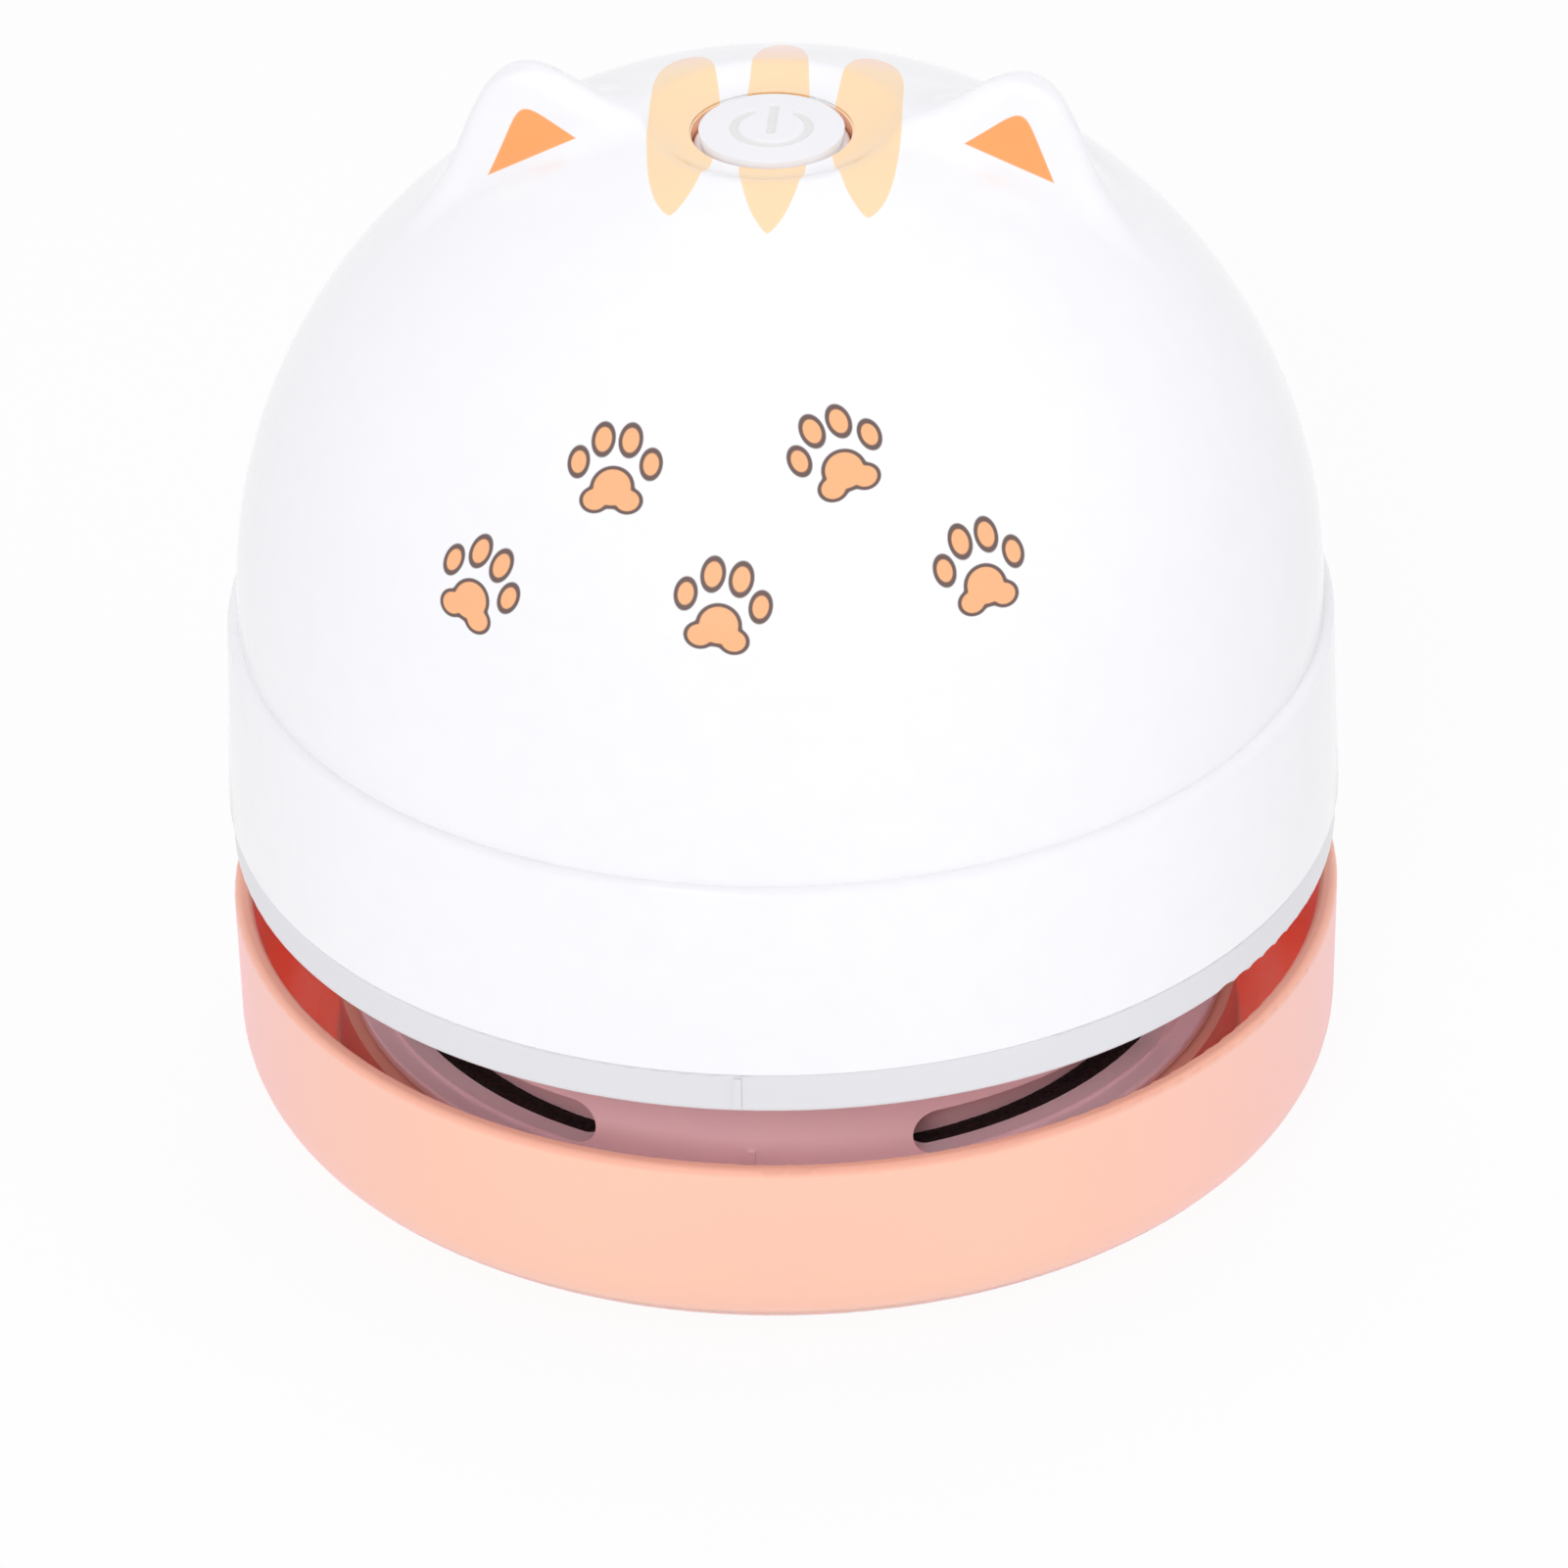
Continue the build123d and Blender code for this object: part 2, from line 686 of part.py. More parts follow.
# ---- motor ---------------------------------------------------------------------------
def make_motor_can():
    """Drawn steel can with its bearing boss, open at the top."""
    can = turned([
        (0, deck_top, 0),
        (motor_radius, deck_top, motor_round),
        (motor_radius, cap_bottom, 0),
        (motor_radius - motor_wall, cap_bottom, 0),
        (motor_radius - motor_wall, deck_top + motor_wall, 0),
        (0, deck_top + motor_wall, 0),
    ])
    seat_top = deck_top + motor_bearing_height
    can += ring(motor_boss_radius, 0, deck_top - motor_boss_height, seat_top)
    can -= ring(shaft_radius + shaft_clearance, 0, deck_top - motor_boss_height - past, seat_top + past)
    for x, y in motor_screw_places():
        can += post(screw_radius + motor_seat_wall, deck_top + bite, seat_top, x, y)
        can -= pilot(motor_screw_length, deck_bottom - screw_head_height, x, y)
    return can


def make_motor_magnets():
    outer = motor_radius - motor_wall
    top = magnet_bottom + magnet_height
    return [sector(outer, outer - magnet_wall, magnet_bottom, top, middle, magnet_span)
            for middle in both_sides]


def make_motor_cap():
    """Plastic end cap with the upper bearing."""
    spigot_radius = motor_radius - motor_wall - motor_cap_gap
    cap = turned([
        (0, cap_bottom - motor_cap_spigot, 0),
        (spigot_radius, cap_bottom - motor_cap_spigot, 0),
        (spigot_radius, cap_bottom, 0),
        (motor_radius, cap_bottom, 0),
        (motor_radius, motor_top, motor_round),
        (0, motor_top, 0),
    ])
    cap += ring(motor_boss_radius, 0, motor_top - bite, motor_top + motor_cap_boss)
    cap -= ring(shaft_radius + shaft_clearance, 0, cap_bottom - motor_cap_spigot - past,
                shaft_top + shaft_end_gap)
    for x in (-terminal_spread, terminal_spread):
        cap -= block(terminal_width + 2 * terminal_gap, terminal_wall + 2 * terminal_gap,
                     cap_bottom, motor_top + past, x)
    return cap


def make_motor_terminals():
    """Brass tabs that the battery and switch leads are soldered to."""
    tabs = []
    top = motor_top + terminal_height
    for x in (-terminal_spread, terminal_spread):
        tab = block(terminal_width, terminal_wall, cap_bottom, top, x)
        drill = Cylinder(terminal_eye, terminal_wall + 2 * past)
        tabs.append(tab - Pos(x, 0, top - terminal_eye_drop) * Rot(90, 0, 0) * drill)
    return tabs


def make_motor_shaft():
    shaft = ring(shaft_radius, 0, shaft_bottom, shaft_top)
    return chamfer(shaft.edges().sort_by(Axis.Z)[0], shaft_chamfer)


def make_armature():
    """Laminated star of poles with a copper winding on each, pressed on the shaft."""
    low, high = armature_bottom, armature_bottom + armature_height
    star = ring(armature_hub, 0, low, high)
    span = 360 / armature_poles - pole_gap
    reach = armature_radius - pole_shoe / 2
    for turn in pole_angles():
        star += Rot(0, 0, turn) * block(reach, pole_neck, low, high, reach / 2)
        star += sector(armature_radius, armature_radius - pole_shoe, low, high, turn, span)
    star -= ring(shaft_radius, 0, low - past, high + past)
    return star


def pole_angles():
    return [-front + 360 / armature_poles * k for k in range(armature_poles)]


def make_windings():
    """Copper coils round the armature's poles."""
    low = armature_bottom - winding_height
    high = armature_bottom + armature_height + winding_height
    shoe_inner = armature_radius - pole_shoe
    width = pole_neck + 2 * winding_wall
    coil_outer = math.sqrt(shoe_inner**2 - width**2 / 4) - winding_gap
    length = coil_outer - winding_start
    middle = winding_start + length / 2
    coil = block(length, width, low, high, middle)
    coil -= block(length + 2 * past, pole_neck, armature_bottom, armature_bottom + armature_height, middle)
    return [Rot(0, 0, turn) * coil for turn in pole_angles()]


def make_commutator():
    """Copper drum on the shaft, slit between its segments."""
    top = cap_bottom - motor_cap_spigot - commutator_gap
    low = top - commutator_height
    drum = ring(commutator_radius, shaft_radius, low, top)
    for turn in pole_angles():
        slit = block(commutator_radius, commutator_slit, low - past, top + past,
                     commutator_slit_start + commutator_radius / 2)
        drum -= Rot(0, 0, turn + 180 / armature_poles) * slit
    return drum


# ---- battery and board ---------------------------------------------------------------
def make_battery_cell():
    cell = Cylinder(cell_radius, cell_length)
    cell = fillet(cell.edges(), cell_round)
    cell += Pos(0, 0, cell_length / 2 + cell_cap_height / 2) * Cylinder(cell_cap_radius, cell_cap_height)
    return Pos(0, cell_y, cell_z) * Rot(0, 90, 0) * cell


def make_battery_cradle():
    """Moulded tray on the deck whose ribs hug the cell."""
    inside = cell_length + 2 * cell_cap_height
    depth = 2 * (cell_radius - cradle_inset)
    tray = block(inside + 2 * cradle_wall, depth, deck_top, deck_top + cradle_base, 0, cell_y)
    for side in (-1, 1):
        end_x = side * (inside / 2 + cradle_wall / 2)
        tray += block(cradle_wall, depth, deck_top, cell_z + cradle_arm_rise, end_x, cell_y)
        rib_x = side * cradle_rib_spacing / 2
        tray += block(cradle_wall, 2 * (cell_radius + cradle_rib_wall), deck_top,
                      cell_z + cradle_arm_rise, rib_x, cell_y)
    room = Pos(0, cell_y, cell_z) * Rot(0, 90, 0) * Cylinder(cell_radius + cradle_gap, inside)
    tray -= room + block(inside, cell_radius, cell_z, cell_z + 2 * cell_radius, 0, cell_y)
    for x, y in housing_screw_places():
        tray -= post(column_radius + fit_gap, deck_top - past, cell_z, x, y)
    return tray


def make_main_board():
    board = block(board_width, board_length, board_bottom, board_top, 0, board_back - board_length / 2)
    for x, y in board_screw_places():
        board -= post(screw_radius + screw_clearance, board_bottom - past, board_top + past, x, y)
    return board


def make_board_parts():
    """Charger chip, coil and capacitors on top of the board."""
    middle = board_back - board_length / 2
    return [block(width, depth, board_top, board_top + height, x, middle + y)
            for width, depth, height, x, y in board_chips]


def make_usb_socket():
    """Folded steel micro socket at the back edge of the board."""
    low, high = board_top, board_top + usb_height
    middle = usb_mouth - usb_depth / 2
    body = block(usb_width, usb_depth, low, high, 0, middle)
    body = chamfer(body.edges().filter_by(Axis.Y).group_by(Axis.Z)[0], usb_corner)
    room = block(usb_width - 2 * usb_wall, usb_depth, low + usb_wall, high - usb_wall,
                 0, middle + usb_back_wall)
    room = chamfer(room.edges().filter_by(Axis.Y).group_by(Axis.Z)[0], usb_corner)
    tongue_top = high - usb_tongue_drop
    tongue_start = usb_mouth - usb_depth + usb_back_wall - bite
    tongue = block(usb_tongue_width, usb_tongue_length, tongue_top - usb_tongue_wall, tongue_top,
                   0, tongue_start + usb_tongue_length / 2)
    return body - room + tongue


# ---- top shell -----------------------------------------------------------------------
def dome_height(radius, inset=0.0):
    """Height of the dome's surface, inset inwards by a wall, at a radius."""
    across = radius / (dome_radius - inset)
    return dome_spring + (dome_rise - inset) * math.sqrt(1 - across * across)


def dome_solid(inset=0.0):
    """Solid under the dome, down to the ring, inset inwards by a wall."""
    across, up = dome_radius - inset, dome_rise - inset
    low = ring_top
    outline = Line((0, low), (across, low)) + Line((across, low), (across, dome_spring))
    outline += EllipticalCenterArc((0, dome_spring), across, up, start_angle=0, arc_size=90)
    outline += Line((0, dome_spring + up), (0, low))
    return revolve(make_face(Plane.XZ * outline), Axis.Z)


def along_ear(at_foot, at_tip, height):
    """Size of the ear's section at a height over its foot, on a straight taper."""
    return at_foot + (at_tip - at_foot) * height / ear_height


def ear_section(side, height, inset):
    """Flat-fronted section of an ear at a height over its foot, inset by a wall."""
    half = along_ear(ear_half_width, ear_tip_half_width, height) - inset
    shift = along_ear(ear_shift, ear_tip_shift, height)
    front_y = along_ear(ear_front, ear_tip_front, height) + inset
    back_y = along_ear(ear_back, ear_tip_back, height) - inset
    left, right = (shift - half) * side, (shift + half) * side
    outline = Line((left, front_y), (right, front_y))
    outline += ThreePointArc((right, front_y), (shift * side, back_y), (left, front_y))
    face = make_face(outline)
    corner = along_ear(ear_corner, ear_tip_corner, height)
    face = fillet(face.vertices(), min(half, back_y - front_y) * corner)
    foot = Plane(
        origin=(side * ear_reach, 0, dome_height(ear_reach)),
        x_dir=(math.cos(math.radians(ear_lean)), 0, -side * math.sin(math.radians(ear_lean))),
        z_dir=(side * math.sin(math.radians(ear_lean)), 0, math.cos(math.radians(ear_lean))),
    )
    return foot.offset(height) * face


def ear_solid(side, inset=0.0, tip_drop=0.0):
    """One ear, lofted from inside the dome to its tip."""
    foot = ear_section(side, -ear_root, inset)
    tip = ear_section(side, ear_height - tip_drop, inset)
    return loft([foot, tip])


def make_top_shell():
    """Glossy white shell: dome with ears, ledge and skirt, with bosses inside."""
    skirt = turned([
        (0, ring_top, 0),
        (body_radius, ring_top, skirt_foot_round),
        (skirt_top_radius, ledge_top, skirt_round),
        (0, ledge_top, 0),
    ])
    outer = dome_solid() + skirt
    for side in (-1, 1):
        ear = ear_solid(side)
        ear = fillet(ear.faces().sort_by(Axis.Z)[-1].edges(), ear_tip_round)
        joined = outer + ear
        seam = new_edges(outer, ear, combined=joined)
        outer = fillet(seam, ear_blend)

    cavity = dome_solid(shell_wall) + turned([
        (0, ring_top - past, 0),
        (body_radius - shell_wall, ring_top - past, 0),
        (skirt_top_radius - shell_wall, ledge_top - shell_wall, 0),
        (0, ledge_top - shell_wall, 0),
    ])
    for side in (-1, 1):
        cavity += ear_solid(side, ear_wall, ear_core_drop)
    shell = outer - cavity

    inside = dome_solid(shell_wall / 2)
    collar = ring(collar_radius, 0, collar_bottom, dome_top)
    bosses = [post(boss_radius, deck_top + boss_pad, dome_top, x, y) for x, y in shell_screw_places()]
    bosses += [post(switch_post_radius, switch_bottom, dome_top, x, y) for x, y in switch_screw_places()]
    for boss in [collar] + bosses:
        shell += boss & inside

    dish_edge = dome_height(dish_radius)
    dish_floor = dome_top - dish_depth
    bore = button_radius + button_clearance
    land = bore + dish_land
    over = dome_top + past
    dish = Line((0, over), (dish_radius, over)) + Line((dish_radius, over), (dish_radius, dish_edge))
    dish += ThreePointArc((dish_radius, dish_edge),
                          ((dish_radius + land) / 2, (dish_edge + dish_floor) / 2 - dish_sag),
                          (land, dish_floor))
    dish += Line((land, dish_floor), (0, dish_floor)) + Line((0, dish_floor), (0, over))
    shell -= revolve(make_face(Plane.XZ * dish), Axis.Z)
    shell -= ring(bore, 0, collar_bottom - past, dome_top)

    for x, y in shell_screw_places():
        shell -= pilot(shell_screw_length, deck_bottom, x, y)
    for x, y in switch_screw_places():
        shell -= pilot(switch_screw_length, switch_board_bottom - screw_head_height, x, y)

    port_width = usb_width + 2 * port_margin
    port_depth = 2 * (shell_wall + past)
    port = block(port_width, port_depth, board_top - port_margin, board_top + usb_height + port_margin,
                 0, body_radius)
    return shell - fillet(port.edges().filter_by(Axis.Y), port_round)


# ---- button and switch ---------------------------------------------------------------
def make_button():
    """Round push button with a retaining flange, hollow underneath."""
    button = turned([
        (0, flange_bottom, 0),
        (button_radius + button_flange, flange_bottom, 0),
        (button_radius + button_flange, flange_top, 0),
        (button_radius, flange_top, 0),
        (button_radius, button_face - button_crown, button_edge_round),
        (0, button_face, 0),
    ])
    button -= ring(button_radius - button_wall, plunger_side / 2 + button_stem_wall, flange_bottom - past,
                   button_face - button_wall - button_crown)
    return button - power_symbol()


def power_symbol():
    """Open circle and bar, as a cutter for the button's face."""
    low, high = button_face - symbol_depth, button_face + past
    half = symbol_width / 2
    symbol = ring(symbol_radius + half, symbol_radius - half, low, high)
    symbol -= sector(symbol_radius + 2 * half, 0, low - past, high + past, -front, symbol_opening)
    return symbol + block(symbol_width, symbol_bar_length, low, high, 0, symbol_bar_middle)


def make_switch_plunger():
    """Stem of the latching switch, under the button."""
    return block(plunger_side, plunger_side, plunger_bottom, flange_bottom)


def make_push_switch():
    body = block(switch_side, switch_side, switch_bottom, switch_top)
    body = chamfer(body.edges().filter_by(Axis.Z), switch_corner)
    well = plunger_side + 2 * plunger_gap
    well_bottom = plunger_bottom - button_travel - plunger_bottom_gap
    return body - block(well, well, well_bottom, switch_top + past)


def make_switch_board():
    board = block(switch_board_length, switch_board_width, switch_board_bottom, switch_bottom)
    board = fillet(board.edges().filter_by(Axis.Z), switch_board_corner)
    for x, y in switch_screw_places():
        board -= post(screw_radius + screw_clearance, switch_board_bottom - past, switch_bottom + past, x, y)
    return board


# ---- screws --------------------------------------------------------------------------
def make_shell_screws():
    return [screw(shell_screw_length, deck_bottom, x, y) for x, y in shell_screw_places()]


def make_housing_screws():
    return [screw(housing_screw_length, housing_bottom, x, y) for x, y in housing_screw_places()]


def make_motor_screws():
    head_at = deck_bottom - screw_head_height
    return [screw(motor_screw_length, head_at, x, y) for x, y in motor_screw_places()]


def make_board_screws():
    head_at = board_top + screw_head_height
    return [screw(board_screw_length, head_at, x, y, up=False) for x, y in board_screw_places()]


def make_switch_screws():
    head_at = switch_board_bottom - screw_head_height
    return [screw(switch_screw_length, head_at, x, y) for x, y in switch_screw_places()]


pieces = {
    "dust_cup": make_dust_cup,
    "feet": make_feet,
    "bristle_strips": make_bristle_strips,
    "bristles": make_bristles,
    "motor_deck": make_motor_deck,
    "fan_housing": make_fan_housing,
    "exhaust_gasket": make_exhaust_gasket,
    "filter_frame": make_filter_frame,
    "filter_mesh": make_filter_mesh,
    "filter_foam": make_filter_foam,
    "impeller": make_impeller,
    "motor_can": make_motor_can,
    "motor_magnets": make_motor_magnets,
    "motor_cap": make_motor_cap,
    "motor_terminals": make_motor_terminals,
    "motor_shaft": make_motor_shaft,
    "armature": make_armature,
    "windings": make_windings,
    "commutator": make_commutator,
    "battery_cell": make_battery_cell,
    "battery_cradle": make_battery_cradle,
    "main_board": make_main_board,
    "board_parts": make_board_parts,
    "usb_socket": make_usb_socket,
    "top_shell": make_top_shell,
    "button": make_button,
    "switch_plunger": make_switch_plunger,
    "push_switch": make_push_switch,
    "switch_board": make_switch_board,
    "shell_screws": make_shell_screws,
    "housing_screws": make_housing_screws,
    "motor_screws": make_motor_screws,
    "board_screws": make_board_screws,
    "switch_screws": make_switch_screws,
}

os.makedirs("parts", exist_ok=True)
for name, make in pieces.items():
    shape = make()
    if isinstance(shape, list):
        shape = Compound(children=shape)
    export_step(shape, f"parts/{name}.step")
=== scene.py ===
import math

import bmesh
import bpy
import numpy as np
from mathutils import Matrix, Vector, noise


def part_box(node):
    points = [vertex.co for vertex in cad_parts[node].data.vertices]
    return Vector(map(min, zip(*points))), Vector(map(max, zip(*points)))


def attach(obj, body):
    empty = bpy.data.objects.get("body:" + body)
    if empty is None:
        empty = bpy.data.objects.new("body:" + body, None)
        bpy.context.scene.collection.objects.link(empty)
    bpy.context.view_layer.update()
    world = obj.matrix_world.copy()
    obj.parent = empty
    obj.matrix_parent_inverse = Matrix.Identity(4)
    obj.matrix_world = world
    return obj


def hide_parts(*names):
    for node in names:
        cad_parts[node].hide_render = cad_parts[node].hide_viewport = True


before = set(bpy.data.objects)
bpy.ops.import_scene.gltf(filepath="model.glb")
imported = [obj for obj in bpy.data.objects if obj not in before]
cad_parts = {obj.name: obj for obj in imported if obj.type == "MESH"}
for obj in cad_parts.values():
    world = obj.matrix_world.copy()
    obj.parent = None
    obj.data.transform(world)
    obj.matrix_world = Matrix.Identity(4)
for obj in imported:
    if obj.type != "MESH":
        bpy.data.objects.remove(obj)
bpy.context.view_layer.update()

MM = 0.001

# ---- helpers for shader trees ------------------------------------------------------
# A value or input below is a number, a vector or another node's output.
MIX_A, MIX_B, MIXED = 6, 7, 2    # the colour sockets of a Mix node


def linear(code):
    """Linear colour of an sRGB hex value."""
    parts = [int(code[k:k + 2], 16) / 255 for k in (1, 3, 5)]
    return [c / 12.92 if c <= 0.04045 else ((c + 0.055) / 1.055) ** 2.4 for c in parts] + [1.0]


def add_node(tree, kind, inputs=(), **settings):
    """Node of a kind with its settings and inputs."""
    node = tree.nodes.new(kind)
    for name, value in settings.items():
        setattr(node, name, value)
    for socket, value in dict(inputs).items():
        if isinstance(value, bpy.types.NodeSocket):
            tree.links.new(value, node.inputs[socket])
        else:
            node.inputs[socket].default_value = value
    return node


def math_of(tree, operation, *values):
    """Result of a Math node."""
    node = add_node(tree, "ShaderNodeMath", enumerate(values), operation=operation)
    return node.outputs["Value"]


def vector_of(tree, operation, *values):
    """Result of a Vector Math node, which is a number for a length or a dot product."""
    node = add_node(tree, "ShaderNodeVectorMath", enumerate(values), operation=operation)
    return node.outputs["Value" if operation in ("LENGTH", "DOT_PRODUCT") else "Vector"]


def ramp_of(tree, value, start, end, low=0.0, high=1.0, shape="LINEAR"):
    """Value that goes from low to high while another goes from start to end."""
    node = add_node(tree, "ShaderNodeMapRange", {
        "Value": value, "From Min": start, "From Max": end, "To Min": low, "To Max": high},
        interpolation_type=shape)
    return node.outputs["Result"]


def mix_of(tree, share, first, second):
    """Colour between two colours, each an sRGB hex value or an output."""
    first, second = [linear(c) if isinstance(c, str) else c for c in (first, second)]
    node = add_node(tree, "ShaderNodeMix", {"Factor": share, MIX_A: first, MIX_B: second},
                    data_type="RGBA")
    return node.outputs[MIXED]


def noise_of(tree, place, size, detail):
    """Noise whose features are about a size in mm."""
    node = add_node(tree, "ShaderNodeTexNoise", {
        "Vector": place, "Scale": 1 / size, "Detail": detail})
    return node.outputs["Fac"]


def relief_of(tree, height, strength, depth):
    """Normal of a skin with a relief of a depth in mm."""
    node = add_node(tree, "ShaderNodeBump", {
        "Height": height, "Strength": strength, "Distance": depth * MM})
    return node.outputs["Normal"]


def axes_of(tree, place):
    """X, Y and Z of a place."""
    return add_node(tree, "ShaderNodeSeparateXYZ", {"Vector": place}).outputs


def from_axis(tree, place):
    """Distance of a place from the Z axis."""
    return vector_of(tree, "LENGTH", vector_of(tree, "MULTIPLY", place, (1, 1, 0)))


def start_material(name):
    """Empty material with its node tree and the object's coordinates in mm."""
    material = bpy.data.materials.new(name)
    material.use_nodes = True
    tree = material.node_tree
    tree.nodes.clear()
    place = add_node(tree, "ShaderNodeTexCoord").outputs["Object"]
    scaled = add_node(tree, "ShaderNodeVectorMath", {0: place, "Scale": 1 / MM}, operation="SCALE")
    return material, tree, scaled.outputs["Vector"]


def close_material(tree, **inputs):
    """Principled surface and output for a tree."""
    names = {name.replace("_", " "): value for name, value in inputs.items()}
    surface = add_node(tree, "ShaderNodeBsdfPrincipled", names)
    add_node(tree, "ShaderNodeOutputMaterial", {"Surface": surface.outputs["BSDF"]})


def paint(material, *nodes):
    """Gives CAD nodes their finish."""
    for node in nodes:
        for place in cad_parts[node].material_slots:
            place.material = material


def moulded(name, colour, shade, flow, grain, depth, roughness, ior=1.5):
    """Moulded plastic or rubber: two close colours that drift over flow mm, and a skin
    whose grain and depth, in mm, also vary its roughness."""
    material, tree, place = start_material(name)
    mixed = mix_of(tree, noise_of(tree, place, flow, 2.0), colour, shade)
    skin = noise_of(tree, place, grain, 3.0)
    gloss = ramp_of(tree, skin, 0.0, 1.0, roughness * 0.85, roughness * 1.15)
    close_material(tree, Base_Color=mixed, Roughness=gloss, IOR=ior,
                   Normal=relief_of(tree, skin, 0.6, depth))
    return material


def metal(name, colour, shade, roughness, streak, stretch):
    """Metal with fine streaks in mm, drawn out along the axis where stretch is small."""
    material, tree, place = start_material(name)
    lines = noise_of(tree, vector_of(tree, "MULTIPLY", place, stretch), streak, 3.0)
    gloss = ramp_of(tree, lines, 0.0, 1.0, roughness * 0.7, roughness * 1.3)
    close_material(tree, Base_Color=mix_of(tree, lines, colour, shade), Metallic=1.0,
                   Roughness=gloss, Normal=relief_of(tree, lines, 0.3, 0.01))
    return material


# ---- helpers for pieces ------------------------------------------------------------
def add_object(name, data):
    """New object in the scene."""
    piece = bpy.data.objects.new(name, data)
    bpy.context.scene.collection.objects.link(piece)
    return piece


def closed_mesh(name, corners, faces, join=0.0):
    """Mesh of corners in mm whose faces look outwards, with corners closer than join
    made one."""
    mesh = bpy.data.meshes.new(name)
    mesh.from_pydata([Vector(corner) * MM for corner in corners], [], faces)
    solid = bmesh.new()
    solid.from_mesh(mesh)
    if join > 0:
        bmesh.ops.remove_doubles(solid, verts=solid.verts, dist=join * MM)
    bmesh.ops.recalc_face_normals(solid, faces=solid.faces)
    solid.to_mesh(mesh)
    solid.free()
    return mesh


def evaluated(piece):
    """Mesh of a piece with its modifiers applied."""
    bpy.context.view_layer.update()
    graph = bpy.context.evaluated_depsgraph_get()
    return bpy.data.meshes.new_from_object(piece.evaluated_get(graph))


def finish_mesh(mesh, material):
    """Smooth shading and one material for a mesh."""
    mesh.polygons.foreach_set("use_smooth", [True] * len(mesh.polygons))
    mesh.materials.clear()
    mesh.materials.append(material)


def rounded(corners):
    """Outline through corners of radius, height and rounding, with the rounds as arcs."""
    line = []
    for k, (across, up, rounding) in enumerate(corners):
        corner = Vector((across, up))
        if rounding == 0:
            line.append(corner)
            continue
        to_last = (Vector(corners[k - 1][:2]) - corner).normalized()
        to_next = (Vector(corners[(k + 1) % len(corners)][:2]) - corner).normalized()
        half = to_last.angle(to_next) / 2
        centre = corner + (to_last + to_next).normalized() * rounding / math.sin(half)
        first, last = to_last * rounding / math.tan(half), to_next * rounding / math.tan(half)
        for share in (0.0, 0.25, 0.5, 0.75, 1.0):
            spot = corner + first.lerp(last, share)
            line.append(centre + (spot - centre).normalized() * rounding)
    return line


def ring_faces(rings, steps, closed):
    """Quads between rings of corners, with the last ring joined to the first if closed."""
    return [(j * steps + k, (j + 1) % rings * steps + k,
             (j + 1) % rings * steps + (k + 1) % steps, j * steps + (k + 1) % steps)
            for j in range(rings if closed else rings - 1) for k in range(steps)]


def evaluated_mesh(name, points, edges, group, values, ride_on):
    """Plain mesh piece that a Geometry Nodes group makes from points and edges."""
    base = bpy.data.meshes.new(name + "_base")
    base.from_pydata(points, edges, [])
    maker = add_object(name + "_maker", base)
    modifier = maker.modifiers.new("make", "NODES")
    modifier.node_group = group
    for item in group.interface.items_tree:
        if item.item_type == "SOCKET" and item.name in values:
            modifier[item.identifier] = values[item.name]
    mesh = evaluated(maker)
    bpy.data.objects.remove(maker)
    piece = add_object(name, mesh)
    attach(piece, ride_on)
    return piece


def start_group(name, **inputs):
    """Geometry Nodes group with named inputs for sizes, its tree and its input node."""
    tree = bpy.data.node_groups.new(name, "GeometryNodeTree")
    tree.interface.new_socket("Geometry", in_out="INPUT", socket_type="NodeSocketGeometry")
    tree.interface.new_socket("Geometry", in_out="OUTPUT", socket_type="NodeSocketGeometry")
    for label, kind in inputs.items():
        tree.interface.new_socket(label.replace("_", " "), in_out="INPUT", socket_type=kind)
    return tree, add_node(tree, "NodeGroupInput")


def close_group(tree, geometry, material):
    """Realized and painted output of a Geometry Nodes group."""
    whole = add_node(tree, "GeometryNodeRealizeInstances", {"Geometry": geometry})
    painted = add_node(tree, "GeometryNodeSetMaterial", {
        "Geometry": whole.outputs["Geometry"], "Material": material})
    add_node(tree, "NodeGroupOutput", {"Geometry": painted.outputs["Geometry"]})


# ---- dust cup ----------------------------------------------------------------------
# One injection moulding in peach ABS with a satin gloss, thin enough for red light to
# pass. The channel inside is lit through the wall, and its glow is also painted into
# its colour as a deeper peach.
cup_low, cup_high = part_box("dust_cup")
cup_radius = cup_high.x / MM      # sizes in mm
cup_rim_height = cup_high.z / MM
cup_wall = 1.5
cup_floor = 1.8
cup_outside = "#FFCDB2"
cup_outside_shade = "#FFC6AF"
cup_side_painted_light = "#FFC8B9"       # painted light: pinker towards the sides, where the cooler side light falls
cup_side_start = 22.0      # distance from the middle where that begins
cup_rim_painted_glow = "#FFBBA2"        # painted glow: the rim is painted deeper, for the light that comes out of the wall there
cup_rim_band = (0.6, 0.3)  # from under the rim, where that painted glow begins and is full
# painted glow: the channel's deeper peach stands in for light coming through the wall
cup_channel_painted_glow = "#FFB49E"
channel_inside = 38.0      # the outer wall is beyond this radius
cup_edge = 0.15            # softness where the channel's colour begins
cup_floor_edge = 0.3
cup_flow = 26.0            # size of the moulding's faint colour flow
cup_grain = 0.45           # spark-eroded texture, drawn coarser than the real 0.1 mm
cup_grain_depth = 0.01
cup_gloss = (0.27, 0.37)   # least and most roughness
glow_reach = 14.0          # how far red light goes in the wall
glow_share = (1.0, 0.17, 0.11)    # how far red, green and blue go, as shares of that
cup_sheen = "#FFA8C8"

